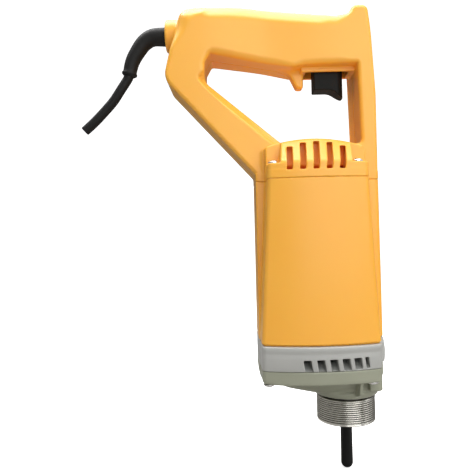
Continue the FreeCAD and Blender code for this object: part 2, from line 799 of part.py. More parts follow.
def motor_leads():
    """Leads from the switch back through the grip and down the strut to the brush holders."""
    leads = []
    for side in (-1, 1):
        leads.append(
            pipe(
                [
                    (SWITCH_X[0] - FIT, side * 9.0, 280.6),
                    (-34.0, side * 9.2, 280.6),
                    (-68.0, side * 10.0, 280.6),
                    (-88.0, side * 10.5, 275.0),
                    (-99.5, side * 11.0, 264.0),
                    (-104.0, side * 11.0, 250.0),
                    (-101.0, side * 11.0, 236.0),
                    (-92.6, side * 11.0, 222.0),
                    (-71.7, side * 12.0, 198.0),
                    (-58.5, side * 13.0, 184.5),
                    (-47.5, side * 14.5, 178.0),
                    (-41.5, side * 15.2, 168.0),
                    (-40.2, side * 15.8, 158.0),
                    (-36.0, side * 19.0, 151.0),
                    (MOTOR_X - HOLDER_HALF - 0.5, side * 20.8, 149.3),
                ],
                1.2,
            )
        )
    return Part.Compound(leads)


# ======================= bearings =======================


def bearing_sizes(bore_r, outer_r):
    """Ball radius, pitch radius and ball count of a deep-groove bearing."""
    pitch_r = (bore_r + outer_r) / 2
    ball_r = (outer_r - bore_r) * 0.29
    count = int(math.pi * pitch_r / ball_r * 0.78)
    return ball_r, pitch_r, count


def bearing_ring(bore_r, outer_r, z, x, outer):
    """One race of a deep-groove bearing, with its ball groove."""
    ball_r, pitch_r, _ = bearing_sizes(bore_r, outer_r)
    shoulder = ball_r * 0.62
    if outer:
        ring = tube(outer_r, pitch_r + shoulder, z[0], z[1], x)
    else:
        ring = tube(pitch_r - shoulder, bore_r, z[0], z[1], x)
    middle = (z[0] + z[1]) / 2
    groove = Part.makeTorus(pitch_r, ball_r + 0.04, V(x, 0, middle))
    return ring.cut(groove)


def bearing_balls(bore_r, outer_r, z, x):
    ball_r, pitch_r, count = bearing_sizes(bore_r, outer_r)
    middle = (z[0] + z[1]) / 2
    balls = []
    for k in range(count):
        turn = 2 * math.pi * k / count
        centre = V(x + pitch_r * math.cos(turn), pitch_r * math.sin(turn), middle)
        balls.append(Part.makeSphere(ball_r, centre))
    return Part.Compound(balls)


def bearing_cage(bore_r, outer_r, z, x):
    """Thin ring between the races, with a pocket round each ball."""
    ball_r, pitch_r, count = bearing_sizes(bore_r, outer_r)
    middle = (z[0] + z[1]) / 2
    half = ball_r * 1.2
    ring = tube(pitch_r + ball_r * 0.3, pitch_r - ball_r * 0.3, middle - half, middle + half, x)
    pockets = []
    for k in range(count):
        turn = 2 * math.pi * k / count
        outward = V(math.cos(turn), math.sin(turn), 0)
        start = V(x, 0, middle) + outward * (pitch_r - ball_r)
        pockets.append(Part.makeCylinder(ball_r + 0.05, 2 * ball_r, start, outward))
    return ring.cut(pockets)


# ======================= motor internals =======================


def stator_core():
    """Laminated two-pole stack: poles at +X and -X, coil slots at +Y and -Y."""
    core = tube(STATOR_R, STATOR_BORE, *STACK_Z, MOTOR_X)
    cuts = [sector(22.8, 31.6, a, a + 64, STACK_Z[0] - 1, STACK_Z[1] + 1, MOTOR_X) for a in (58, 238)]
    cuts += [
        rod(1.7, STACK_Z[0] - 1, STACK_Z[1] + 1, MOTOR_X + side * STATOR_SCREW_X) for side in (-1, 1)
    ]
    return core.cut(cuts)


def field_coils():
    """Two bundles of wire, one round each pole."""
    low, high = STACK_Z
    inner_r, outer_r = 23.6, 28.9
    z0, z1 = low - 7.0, high + 7.0
    bundle = [sector(inner_r, outer_r, a, a + 26, z0, z1, MOTOR_X) for a in (61, -87)]
    for z in (z0, high + 0.5):
        bundle.append(sector(inner_r, outer_r, -87, 87, z, z + 6.5, MOTOR_X))
    right = joined(bundle)
    left = right.copy()
    left.rotate(V(MOTOR_X, 0, 0), V(0, 0, 1), 180)
    return Part.Compound([right, left])


def stator_screws():
    """Two long screws up through the stack into the housing's posts."""
    screws = []
    for side in (-1, 1):
        screw = pan_screw(1.6, 84.0, 2.6, 2.0, 0.9)
        screws.append(placed(screw, MOTOR_X + side * STATOR_SCREW_X, 0, STACK_Z[0], (0, 0, -1)))
    return Part.Compound(screws)


def armature_shaft():
    """Steel shaft with the pinion cut on its lower end."""
    low, high = REAR_BEARING_Z
    main = rod(SHAFT_R, 41.0, low, MOTOR_X)
    rear = rod(4.0, low - 1, high + 0.4, MOTOR_X)
    neck = rod(3.5, GEAR_Z[1] - 2, 42.0, MOTOR_X)
    tooth_width, tip_r, root_r = 1.862, 5.7, 3.65
    teeth = gear_blank(PINION_TEETH, tooth_width, tip_r, root_r, GEAR_Z[0] - 1, GEAR_Z[1], 0.0)
    teeth.translate(V(MOTOR_X, 0, 0))
    return joined([main, rear, neck, teeth])


def armature_core():
    """Laminated rotor stack with twelve winding slots."""
    core = tube(ARMATURE_R, SHAFT_R + FIT, *STACK_Z, MOTOR_X)
    cuts = []
    for k in range(12):
        turn = 30 * k
        slot = [
            rod(2.6, STACK_Z[0] - 1, STACK_Z[1] + 1, MOTOR_X + 16.0),
            box(MOTOR_X + 16.0, MOTOR_X + 22.0, -0.9, 0.9, STACK_Z[0] - 1, STACK_Z[1] + 1),
        ]
        for piece in slot:
            piece.rotate(V(MOTOR_X, 0, 0), V(0, 0, 1), turn)
            cuts.append(piece)
    return core.cut(cuts)


def armature_winding():
    """Copper in the rotor slots, with a rounded bundle of end turns above and below."""
    low, high = END_TURN_Z
    rods = []
    for k in range(12):
        bar = rod(2.5, STACK_Z[0] - 3, STACK_Z[1] + 3, MOTOR_X + 16.0)
        bar.rotate(V(MOTOR_X, 0, 0), V(0, 0, 1), 30 * k)
        rods.append(bar)
    lower = tube(19.0, 8.0, low, STACK_Z[0] - 0.05, MOTOR_X)
    lower = soften(lower, 2.5, lambda e: in_plane(e, "Z", low))
    upper = tube(19.0, 8.0, STACK_Z[1] + 0.05, high, MOTOR_X)
    upper = soften(upper, 2.5, lambda e: in_plane(e, "Z", high))
    return joined([lower, upper] + rods)


def commutator_bars():
    count = 24
    pitch = 360 / count
    bars = []
    for k in range(count):
        start = k * pitch + 0.8
        end = (k + 1) * pitch - 0.8
        bars.append(sector(9.0 + FIT, COMMUTATOR_R, start, end, *COMMUTATOR_Z, MOTOR_X))
    return Part.Compound(bars)


def commutator_hub():
    low, high = COMMUTATOR_Z
    core = tube(9.0, SHAFT_R + FIT, low, high, MOTOR_X)
    riser = tube(11.0, SHAFT_R + FIT, low - 2, low - 0.03, MOTOR_X)
    return joined([core, riser, tube(9.0, SHAFT_R + FIT, low - 1, low + 1, MOTOR_X)])


def cooling_fan():
    """Radial fan: disc, hub and nine blades hanging round the bearing boss."""
    disc = tube(FAN_R, SHAFT_R + FIT, 57.5, 59.5, MOTOR_X)
    hub = tube(9.0, SHAFT_R + FIT, 56.5, 63.0, MOTOR_X)
    blades = []
    for k in range(9):
        blade = box(MOTOR_X + 21.0, MOTOR_X + FAN_R - 0.5, -0.9, 0.9, 51.5, 58.0)
        blade.rotate(V(MOTOR_X + 21.0, 0, 0), V(0, 0, 1), 22)
        blade = blade.common(rod(FAN_R, 51.0, 59.0, MOTOR_X))
        blade.rotate(V(MOTOR_X, 0, 0), V(0, 0, 1), 40 * k)
        blades.append(blade)
    return joined([disc, hub] + blades)


def air_guide():
    """Ring that leads the motor's air into the fan's eye."""
    z0, z1 = VENT_TOP, VENT_TOP + 2.5
    plate = body_block(z0, z1, PANEL_HALF_BOTTOM, PANEL_HALF_BOTTOM, WALL + 0.25)
    cuts = [rod(24.0, z0 - 1, z1 + 1, MOTOR_X)]
    for x, y in CASE_SCREW_XY:
        cuts += both_sides(rod(5.1, z0 - 1, z1 + 1, MOTOR_X + x, y))
    return plate.cut(cuts)


def brush_holder(side):
    """Insulated box with a guide channel for one brush and its spring."""
    width, height = BRUSH_SIZE[:2]
    half_w = width / 2 + BRUSH_PLAY
    half_h = height / 2 + BRUSH_PLAY
    body = box(
        MOTOR_X - HOLDER_HALF, MOTOR_X + HOLDER_HALF, 16.0, 37.0, BRUSH_Z - HOLDER_HALF, BRIDGE_Z[0] - FIT
    )
    channel = box(MOTOR_X - half_w, MOTOR_X + half_w, 15.0, 35.2, BRUSH_Z - half_h, BRUSH_Z + half_h)
    holder = body.cut(channel)
    return holder if side > 0 else mirrored_y(holder)


def brush(side):
    """Carbon block worn to the commutator's curve."""
    width, height, length = BRUSH_SIZE
    block = box(
        MOTOR_X - width / 2,
        MOTOR_X + width / 2,
        COMMUTATOR_R - 1.0,
        COMMUTATOR_R + length,
        BRUSH_Z - height / 2,
        BRUSH_Z + height / 2,
    )
    block = block.cut(rod(COMMUTATOR_R + 0.05, 130.0, 160.0, MOTOR_X))
    return block if side > 0 else mirrored_y(block)


def brush_spring(side):
    start = (MOTOR_X, side * (COMMUTATOR_R + BRUSH_SIZE[2] + 0.03), BRUSH_Z)
    return coil_spring(0.25, 2.3, 1.6, 8.1, start, (0, side, 0))


def rear_bearing_sleeve():
    return tube(12.5, 11.0 + FIT, *REAR_BEARING_Z, MOTOR_X)


# ======================= gears and output =======================


def gear_blank(teeth, pitch_thickness, tip_r, root_r, z0, z1, turn):
    """Involute spur gear body; pitch_thickness is the tooth's width there and turn is in degrees."""
    pressure = math.radians(20.0)
    pitch_r = GEAR_MODULE * teeth / 2
    base_r = pitch_r * math.cos(pressure)
    backlash = 0.15

    def involute(angle):
        return math.tan(angle) - angle

    def half_angle(r):
        here = math.acos(min(1.0, base_r / r)) if r > base_r else 0.0
        return (pitch_thickness - backlash) / (2 * pitch_r) + involute(pressure) - involute(here)

    start_r = max(base_r, root_r)
    steps = 5
    radii = [start_r + (tip_r - start_r) * i / steps for i in range(steps + 1)]
    edges = []
    for k in range(teeth):
        centre = math.radians(turn) + 2 * math.pi * k / teeth
        flank = [(root_r, half_angle(start_r))] + [(r, half_angle(r)) for r in radii]
        if root_r >= base_r:
            flank = flank[1:]
        rising = [polar(r, centre - a) for r, a in flank]
        falling = [polar(r, centre + a) for r, a in reversed(flank)]
        edges += rising + falling
    outline = Part.makePolygon([V(x, y, z0) for x, y in edges + edges[:1]])
    return Part.Face(outline).extrude(V(0, 0, z1 - z0))


def polar(r, angle):
    return r * math.cos(angle), r * math.sin(angle)


def drive_gear():
    """38-tooth gear on the output spindle."""
    z0, z1 = GEAR_Z
    tooth_width, tip_r, root_r = 1.280, 19.5, 17.35
    half_tooth = 180.0 / GEAR_TEETH
    blank = gear_blank(GEAR_TEETH, tooth_width, tip_r, root_r, z0, z1, 180.0 + half_tooth)
    recess = tube(15.0, 10.0, z1 - 2.0, z1 + 1)
    keyway = box(4.0, 7.5 + FIT, -2.0 - FIT, 2.0 + FIT, z0 - 1, z1 + 1)
    return blank.cut([rod(6.0 + FIT, z0 - 1, z1 + 1), recess, keyway])


def gear_key():
    return box(4.0 + FIT, 7.5, -2.0, 2.0, GEAR_Z[0] + 1, GEAR_Z[1] - 1)


def output_spindle():
    """Stepped spindle: round-nosed drive stub below, bearing seat, gear seat and top journal."""
    nose_z = STUB_TIP + STUB_R
    steps = [
        rod(STUB_R, nose_z, 8.0),
        rod(6.0, 7.0, 17.0),
        rod(7.5, SPINDLE_BEARING_Z[0], SPINDLE_BEARING_Z[1] + 1),
        rod(9.0, SPINDLE_BEARING_Z[1] + FIT, GEAR_Z[0] - FIT),
        rod(6.0, GEAR_Z[0] - 1, GEAR_Z[1]),
        rod(5.0, GEAR_Z[1] - 1, BUSH_Z[1] - 0.5),
        Part.makeSphere(STUB_R, V(0, 0, nose_z)),
    ]
    keyway = box(4.0, 7.0, -2.0 - FIT, 2.0 + FIT, GEAR_Z[0] + 1 - FIT, GEAR_Z[1] - 1 + FIT)
    return joined(steps).cut(keyway)


def spindle_bush():
    return tube(7.0, 5.0 + FIT, BUSH_Z[0], BUSH_Z[1] - FIT)


def oil_seal():
    """Lip seal: pressed ring outside, thin lip on the spindle."""
    lip_r = 6.0 + FIT
    profile = [
        (lip_r, 7.2),
        (14.0, 7.2),
        (14.0, 13.9),
        (12.0, 13.9),
        (12.0, 9.0),
        (8.0, 9.0),
        (6.6, 12.0),
        (lip_r, 11.0),
    ]
    return revolved(profile)


def bearing_circlip():
    """Open spring ring that keeps the spindle bearing in the collar."""
    ring = tube(17.5, 14.8, SPINDLE_BEARING_Z[1] + FIT, SPINDLE_BEARING_Z[1] + 1.0)
    return ring.cut(box(0, 20, -2.5, 2.5, 20, 30))


# ======================= assembly =======================

BEARINGS = {
    "rear_bearing": (4.0 + FIT, 11.0, REAR_BEARING_Z, MOTOR_X),
    "front_bearing": (SHAFT_R + FIT, 15.0, FRONT_BEARING_Z, MOTOR_X),
    "spindle_bearing": (7.5 + FIT, 17.5, SPINDLE_BEARING_Z, 0.0),
}

PARTS = {
    "handle_shell_right": lambda: handle_shell(-1),
    "handle_shell_left": lambda: handle_shell(1),
    "handle_shell_screws": handle_shell_screws,
    "handle_mount_screws": handle_mount_screws,
    "motor_housing": motor_housing,
    "vent_ring": vent_ring,
    "gear_case": gear_case,
    "gear_case_screws": gear_case_screws,
    "hose_collar": hose_collar,
    "output_spindle": output_spindle,
    "drive_gear": drive_gear,
    "gear_key": gear_key,
    "spindle_bush": spindle_bush,
    "oil_seal": oil_seal,
    "bearing_circlip": bearing_circlip,
    "trigger": trigger,
    "trigger_spring": trigger_spring,
    "lock_button": lock_button,
    "switch_body": switch_body,
    "suppressor_capacitor": suppressor_capacitor,
    "cord_guard": cord_guard,
    "power_cord": power_cord,
    "cord_clamp": cord_clamp,
    "cord_clamp_screws": cord_clamp_screws,
    "mains_wires": mains_wires,
    "motor_leads": motor_leads,
    "stator_core": stator_core,
    "field_coils": field_coils,
    "stator_screws": stator_screws,
    "armature_shaft": armature_shaft,
    "armature_core": armature_core,
    "armature_winding": armature_winding,
    "commutator_bars": commutator_bars,
    "commutator_hub": commutator_hub,
    "cooling_fan": cooling_fan,
    "air_guide": air_guide,
    "rear_bearing_sleeve": rear_bearing_sleeve,
    "brush_holder_right": lambda: brush_holder(-1),
    "brush_holder_left": lambda: brush_holder(1),
    "brush_right": lambda: brush(-1),
    "brush_left": lambda: brush(1),
    "brush_spring_right": lambda: brush_spring(-1),
    "brush_spring_left": lambda: brush_spring(1),
}


def write_part(name, shape):
    print(name, "solids", len(shape.Solids), "valid", shape.isValid(), "volume", round(shape.Volume))
    shape.exportStep(f"parts/{name}.step")


def main():
    os.makedirs("parts", exist_ok=True)
    for name, make in PARTS.items():
        write_part(name, make())
    for name, (bore_r, outer_r, z, x) in BEARINGS.items():
        write_part(name + "_outer_ring", bearing_ring(bore_r, outer_r, z, x, True))
        write_part(name + "_inner_ring", bearing_ring(bore_r, outer_r, z, x, False))
        write_part(name + "_balls", bearing_balls(bore_r, outer_r, z, x))
        write_part(name + "_cage", bearing_cage(bore_r, outer_r, z, x))


main()
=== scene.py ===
import math

import bpy
import numpy as np
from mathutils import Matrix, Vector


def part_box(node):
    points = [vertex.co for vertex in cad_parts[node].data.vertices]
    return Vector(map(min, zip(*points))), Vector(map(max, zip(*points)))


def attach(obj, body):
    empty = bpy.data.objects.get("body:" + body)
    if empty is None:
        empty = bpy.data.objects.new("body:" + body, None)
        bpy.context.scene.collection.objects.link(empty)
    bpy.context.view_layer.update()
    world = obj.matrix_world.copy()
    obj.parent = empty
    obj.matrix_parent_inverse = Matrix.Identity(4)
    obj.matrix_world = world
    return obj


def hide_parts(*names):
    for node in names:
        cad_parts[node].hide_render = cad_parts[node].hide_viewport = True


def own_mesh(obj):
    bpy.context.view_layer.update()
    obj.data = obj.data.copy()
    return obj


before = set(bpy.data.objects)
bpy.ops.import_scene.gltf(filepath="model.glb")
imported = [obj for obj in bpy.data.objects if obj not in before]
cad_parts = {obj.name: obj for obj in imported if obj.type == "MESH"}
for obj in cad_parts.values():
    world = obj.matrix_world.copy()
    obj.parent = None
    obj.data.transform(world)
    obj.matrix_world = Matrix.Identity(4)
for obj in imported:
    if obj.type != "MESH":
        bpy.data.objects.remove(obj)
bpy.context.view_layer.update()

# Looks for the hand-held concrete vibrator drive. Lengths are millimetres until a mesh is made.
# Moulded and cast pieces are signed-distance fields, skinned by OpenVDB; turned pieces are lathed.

import openvdb
from mathutils import Matrix, Vector

MM = 1000.0


def box_mm(node):
    low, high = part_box(node)
    return low * MM, high * MM


# ---- sizes read from the frame ----
housing_low, housing_high = box_mm("motor_housing")
case_low, case_high = box_mm("gear_case")
collar_low, collar_high = box_mm("hose_collar")
spindle_low, spindle_high = box_mm("output_spindle")
core_low, core_high = box_mm("armature_core")
block_low, block_high = box_mm("handle_shell_right")
trigger_low, trigger_high = box_mm("trigger")

SEAM_Z = housing_high.z
VENT_TOP = housing_low.z
CASE_TOP = case_high.z
CASE_BOTTOM = CASE_TOP - 9.0
SHOULDER_Z = case_low.z
MOTOR_X = (core_low.x + core_high.x) / 2
COLLAR_R = (collar_high.x - collar_low.x) / 2
LEDGE_Z = SEAM_Z + 10.0
GRIP_TOP = block_high.z
SPINE_HALF = 21.0
GRIP_HALF = 16.5
LIP_Z = 250.3
WALL = 3.0

# ======================= signed-distance helpers =======================


def join(a, b, r):
    """Union of two fields with a fillet of radius r in the corner."""
    return np.maximum(np.minimum(a, b), r) - np.hypot(np.maximum(r - a, 0), np.maximum(r - b, 0))


def meet(a, b, r):
    """Intersection of two fields with its edge rounded to radius r."""
    return np.minimum(np.maximum(a, b), -r) + np.hypot(np.maximum(r + a, 0), np.maximum(r + b, 0))


def carve(a, b, r=0.35):
    """Field a with b taken away, the new edge rounded."""
    return meet(a, -b, r)


def smooth_step(value, low, high):
    t = np.clip((value - low) / (high - low), 0, 1)
    return t * t * (3 - 2 * t)


def rounded(corners, steps=7):
    """Points of a closed outline through (a, b, radius) corners, each turned into an arc."""
    points = []
    count = len(corners)
    for i, (a, b, radius) in enumerate(corners):
        here = np.array((a, b))
        before = np.array(corners[i - 1][:2]) - here
        after = np.array(corners[(i + 1) % count][:2]) - here
        before = before / np.hypot(*before)
        after = after / np.hypot(*after)
        half = math.acos(max(-1.0, min(1.0, float(before @ after)))) / 2
        if radius <= 0 or half > 1.56:
            points.append(here)
            continue
        middle = before + after
        centre = here + middle / np.hypot(*middle) * radius / math.sin(half)
        start = here + before * radius / math.tan(half) - centre
        end = here + after * radius / math.tan(half) - centre
        first = math.atan2(start[1], start[0])
        sweep = math.atan2(end[1], end[0]) - first
        sweep = (sweep + math.pi) % (2 * math.pi) - math.pi
        for k in range(steps + 1):
            turn = first + sweep * k / steps
            points.append(centre + radius * np.array((math.cos(turn), math.sin(turn))))
    return np.array(points)


def outline(a, b, points):
    """Signed distance from a closed outline, negative inside; a and b broadcast together."""
    best = None
    inside = None
    for (ax, ay), (bx, by) in zip(points, np.roll(points, -1, axis=0)):
        ex, ey = bx - ax, by - ay
        length = ex * ex + ey * ey
        if length < 1e-9:
            continue
        wx, wy = a - ax, b - ay
        t = np.clip((wx * ex + wy * ey) / length, 0, 1)
        gap = (wx - ex * t) ** 2 + (wy - ey * t) ** 2
        crossed = ((ay > b) != (by > b)) & (wx < ex * wy / (ey if abs(ey) > 1e-9 else 1e-9))
        best = gap if best is None else np.minimum(best, gap)
        inside = crossed if inside is None else inside ^ crossed
    return np.where(inside, -1, 1) * np.sqrt(best)


def slab(value, low, high):
    return np.maximum(low - value, value - high)


def grid_axes(low, high, voxel):
    """Broadcastable x, y and z sample positions of a box."""
    axes = [np.arange(a, b + voxel, voxel, dtype=np.float32) for a, b in zip(low, high)]
    return axes[0][:, None, None], axes[1][None, :, None], axes[2][None, None, :]


def sampled(field, at):
    """The field's value at fractional grid positions."""
    top = np.array(field.shape) - 2
    base = np.clip(np.floor(at).astype(int), 0, top)
    f = at - base
    total = 0
    for corner in range(8):
        step = np.array([corner & 1, corner >> 1 & 1, corner >> 2 & 1])
        weight = np.prod(np.where(step, f, 1 - f), axis=1)
        i, j, k = (base + step).T
        total = total + weight * field[i, j, k]
    return total


def new_object(name, points, faces, material):
    mesh = bpy.data.meshes.new(name)
    mesh.from_pydata(points, [], faces)
    mesh.update()
    thing = bpy.data.objects.new(name, mesh)
    bpy.context.scene.collection.objects.link(thing)
    thing.data.materials.append(material)
    mesh.shade_smooth()
    return thing


def skin(name, field, axes, voxel, material, adaptivity=0.0):
    """A mesh on the field's zero surface, shaded by the field's own gradient."""
    field = np.ascontiguousarray(field, dtype=np.float32)
    band = 3 * voxel
    grid = openvdb.FloatGrid(background=band)
    grid.copyFromArray(np.clip(field, -band, band))
    points, triangles, quads = grid.convertToPolygons(0.0, adaptivity)
    points = points.astype(float)
    normals = np.zeros_like(points)
    for axis in range(3):
        nudge = np.zeros(3)
        nudge[axis] = 0.6
        normals[:, axis] = sampled(field, points + nudge) - sampled(field, points - nudge)
    normals /= np.maximum(np.linalg.norm(normals, axis=1), 1e-9)[:, None]
    low = np.array([float(a.flat[0]) for a in axes])
    places = (points * voxel + low) / MM
    corner = np.concatenate([quads.ravel(), triangles.ravel()])
    a, b, c = (points[quads[:, k]] for k in range(3))
    face_normals = np.cross(b - a, c - a)
    if (face_normals * normals[quads[:, 0]]).sum() < 0:
        quads, triangles = quads[:, ::-1], triangles[:, ::-1]
        corner = np.concatenate([quads.ravel(), triangles.ravel()])
    sizes = np.array([4] * len(quads) + [3] * len(triangles))
    mesh = bpy.data.meshes.new(name)
    mesh.vertices.add(len(places))
    mesh.vertices.foreach_set("co", places.ravel())
    mesh.loops.add(len(corner))
    mesh.loops.foreach_set("vertex_index", corner.astype(np.int32))
    mesh.polygons.add(len(sizes))
    mesh.polygons.foreach_set("loop_start", np.concatenate([[0], np.cumsum(sizes)[:-1]]).astype(np.int32))
    mesh.update(calc_edges=True)
    mesh.validate()
    mesh.shade_smooth()
    mesh.normals_split_custom_set_from_vertices(normals[: len(mesh.vertices)])
    thing = bpy.data.objects.new(name, mesh)
    bpy.context.scene.collection.objects.link(thing)
    mesh.materials.append(material)
    return thing


# ======================= materials =======================


def nodes_of(name):
    material = bpy.data.materials.new(name)
    material.use_nodes = True
    tree = material.node_tree
    shader = tree.nodes["Principled BSDF"]
    return material, tree, shader


def noise(tree, scale, detail=3.0, roughness=0.5, stretch=None):
    """Noise in object space, so that it sits in the material wherever the piece goes."""
    place = tree.nodes.new("ShaderNodeTexCoord")
    texture = tree.nodes.new("ShaderNodeTexNoise")
    texture.inputs["Scale"].default_value = scale
    texture.inputs["Detail"].default_value = detail
    texture.inputs["Roughness"].default_value = roughness
    source = place.outputs["Object"]
    if stretch:
        mapping = tree.nodes.new("ShaderNodeMapping")
        mapping.inputs["Scale"].default_value = stretch
        tree.links.new(source, mapping.inputs["Vector"])
        source = mapping.outputs["Vector"]
    tree.links.new(source, texture.inputs["Vector"])
    return texture.outputs["Fac"]


def ramp(tree, source, stops):
    node = tree.nodes.new("ShaderNodeValToRGB")
    elements = node.color_ramp.elements
    for i, (place, colour) in enumerate(stops):
        element = elements[i] if i < 2 else elements.new(place)
        element.position = place
        element.color = (*colour, 1.0)
    tree.links.new(source, node.inputs["Fac"])
    return node.outputs["Color"]


def spread(tree, source, low, high):
    node = tree.nodes.new("ShaderNodeMapRange")
    node.inputs["From Min"].default_value = 0.3
    node.inputs["From Max"].default_value = 0.7
    node.inputs["To Min"].default_value = low
    node.inputs["To Max"].default_value = high
    tree.links.new(source, node.inputs["Value"])
    return node.outputs["Result"]


def bump(tree, shader, source, distance_mm, strength=1.0, below=None):
    node = tree.nodes.new("ShaderNodeBump")
    node.inputs["Distance"].default_value = distance_mm / MM
    node.inputs["Strength"].default_value = strength
    tree.links.new(source, node.inputs["Height"])
    if below is not None:
        tree.links.new(below, node.inputs["Normal"])
    tree.links.new(node.outputs["Normal"], shader.inputs["Normal"])
    return node.outputs["Normal"]


def finish_material(name, tones, roughness, grain_scale, grain_mm, metallic=0.0, stretch=None, specular=0.5):
    """A mottled colour between two tones, uneven roughness and a fine surface grain."""
    material, tree, shader = nodes_of(name)
    clouds = noise(tree, 14.0, 4.0)
    colour = ramp(tree, clouds, [(0.3, tones[0]), (0.7, tones[1])])
    tree.links.new(colour, shader.inputs["Base Color"])
    shader.inputs["Metallic"].default_value = metallic
    shader.inputs["Specular IOR Level"].default_value = specular
    fine = noise(tree, grain_scale, 3.0, 0.6, stretch)
    tree.links.new(spread(tree, fine, *roughness), shader.inputs["Roughness"])
    bump(tree, shader, fine, grain_mm)
    return material


def orange_plastic():
    material, tree, shader = nodes_of("moulded_orange")
    clouds = noise(tree, 9.0, 3.0)
    colour = ramp(tree, clouds, [(0.25, (0.935, 0.44, 0.050)), (0.75, (0.955, 0.48, 0.066))])
    tree.links.new(colour, shader.inputs["Base Color"])
    pores = noise(tree, 1400.0, 2.0, 0.6)
    tree.links.new(spread(tree, pores, 0.28, 0.36), shader.inputs["Roughness"])
    shader.inputs["Subsurface Weight"].default_value = 0.12
    shader.inputs["Subsurface Radius"].default_value = (1.0, 0.35, 0.05)
    shader.inputs["Subsurface Scale"].default_value = 0.0025
    shader.inputs["Specular IOR Level"].default_value = 0.45
    bump(tree, shader, pores, 0.02, 0.6)
    # Painted glow: a red emission on the baffles behind the grille slots, standing in for light inside the body.
    shader.inputs["Emission Color"].default_value = (0.85, 0.07, 0.01, 1.0)
    tree.links.new(painted_grille_glow(tree), shader.inputs["Emission Strength"])
    return material


def calculate(tree, operation, a, b):
    """A maths node; a and b are sockets or plain numbers."""
    node = tree.nodes.new("ShaderNodeMath")
    node.operation = operation
    for value, socket in zip((a, b), node.inputs):
        if isinstance(value, (int, float)):
            socket.default_value = value
        else:
            tree.links.new(value, socket)
    return node.outputs["Value"]


def painted_grille_glow(tree):
    """Painted glow: red emission on the baffles behind the grille, stronger lower down, standing in for light inside
    the body.
    """
    place = tree.nodes.new("ShaderNodeTexCoord")
    split = tree.nodes.new("ShaderNodeSeparateXYZ")
    tree.links.new(place.outputs["Object"], split.inputs["Vector"])
    x, y, z = (split.outputs[axis] for axis in "XYZ")
    off_centre = calculate(tree, "ABSOLUTE", calculate(tree, "SUBTRACT", x, MOTOR_X / MM), 0.0)
    narrow = calculate(tree, "LESS_THAN", off_centre, 23.5 / MM)
    deep = calculate(tree, "LESS_THAN", calculate(tree, "ABSOLUTE", y, 0.0), 25.5 / MM)
    above = calculate(tree, "GREATER_THAN", z, (LEDGE_Z - 1.0) / MM)
    below = calculate(tree, "LESS_THAN", z, (LEDGE_Z + 15.5) / MM)
    inside = calculate(tree, "MULTIPLY", calculate(tree, "MULTIPLY", narrow, deep), calculate(tree, "MULTIPLY", above, below))
    rise = calculate(tree, "SUBTRACT", (LEDGE_Z + 22.0) / MM, z)
    return calculate(tree, "MULTIPLY", inside, calculate(tree, "MULTIPLY", rise, 14.0))


def grooved_steel():
    """Bright thread crests over grooves darkened by painted shade, set by the mesh's own groove depth."""
    material, tree, shader = nodes_of("threaded_steel")
    groove_shade = tree.nodes.new("ShaderNodeAttribute")
    groove_shade.attribute_name = "groove_shade"
    stains = noise(tree, 120.0, 4.0)
    crest = ramp(tree, stains, [(0.3, (0.80, 0.79, 0.73)), (0.7, (0.92, 0.91, 0.85))])
    mix = tree.nodes.new("ShaderNodeMix")
    mix.data_type = "RGBA"
    # Painted shade: a near-black colour mixed into the thread roots by groove depth.
    mix.inputs["B"].default_value = (0.07, 0.067, 0.06, 1.0)
    tree.links.new(groove_shade.outputs["Fac"], mix.inputs["Factor"])
    tree.links.new(crest, mix.inputs["A"])
    tree.links.new(mix.outputs["Result"], shader.inputs["Base Color"])
    shader.inputs["Metallic"].default_value = 1.0
    tree.links.new(spread(tree, stains, 0.18, 0.28), shader.inputs["Roughness"])
    return material


ORANGE = orange_plastic()
LIGHT_GREY = finish_material(
    "cast_light_grey", [(0.43, 0.435, 0.415), (0.51, 0.515, 0.49)], (0.36, 0.46), 900.0, 0.02, 0.1
)
OLIVE_GREY = finish_material(
    "cast_olive_grey", [(0.29, 0.30, 0.225), (0.35, 0.36, 0.275)], (0.30, 0.40), 900.0, 0.02, 0.1
)
STEEL = finish_material(
    "turned_steel", [(0.60, 0.59, 0.54), (0.68, 0.67, 0.62)], (0.20, 0.28), 400.0, 0.001, 1.0, (1, 1, 14)
)
BLACK_STEEL = finish_material(
    "black_oxide_steel", [(0.012, 0.012, 0.013), (0.022, 0.022, 0.022)], (0.28, 0.42), 700.0, 0.01, 0.6, (1, 1, 6)
)
ZINC = finish_material("zinc_screw", [(0.72, 0.72, 0.70), (0.85, 0.85, 0.83)], (0.16, 0.3), 500.0, 0.01, 1.0)
BLACK_PLASTIC = finish_material(
    "black_plastic", [(0.005, 0.0056, 0.0048), (0.008, 0.0086, 0.0074)], (0.46, 0.58), 900.0, 0.02,
    specular=0.14,
)
RUBBER = finish_material(
    "black_rubber", [(0.008, 0.008, 0.008), (0.014, 0.014, 0.013)], (0.5, 0.62), 800.0, 0.02, specular=0.22
)
LAMINATION = finish_material(
    "lamination_steel", [(0.24, 0.25, 0.27), (0.36, 0.37, 0.39)], (0.3, 0.5), 300.0, 0.05, 1.0, (0.05, 0.05, 8)
)
COPPER = finish_material("enamelled_copper", [(0.55, 0.17, 0.05), (0.75, 0.28, 0.10)], (0.25, 0.4), 600.0, 0.12, 0.9, (6, 6, 0.4))
BRONZE = finish_material("sintered_bronze", [(0.50, 0.30, 0.10), (0.64, 0.42, 0.16)], (0.35, 0.5), 1500.0, 0.02, 1.0)
PHENOLIC = finish_material("brown_phenolic", [(0.10, 0.035, 0.012), (0.16, 0.06, 0.022)], (0.3, 0.45), 700.0, 0.02)
CARBON = finish_material("carbon_block", [(0.02, 0.02, 0.021), (0.05, 0.05, 0.052)], (0.4, 0.6), 900.0, 0.02, 0.3)
NYLON = finish_material("natural_nylon", [(0.55, 0.46, 0.28), (0.66, 0.57, 0.36)], (0.35, 0.5), 700.0, 0.02)
FILM = finish_material("capacitor_film", [(0.72, 0.52, 0.04), (0.80, 0.60, 0.07)], (0.15, 0.25), 300.0, 0.01)
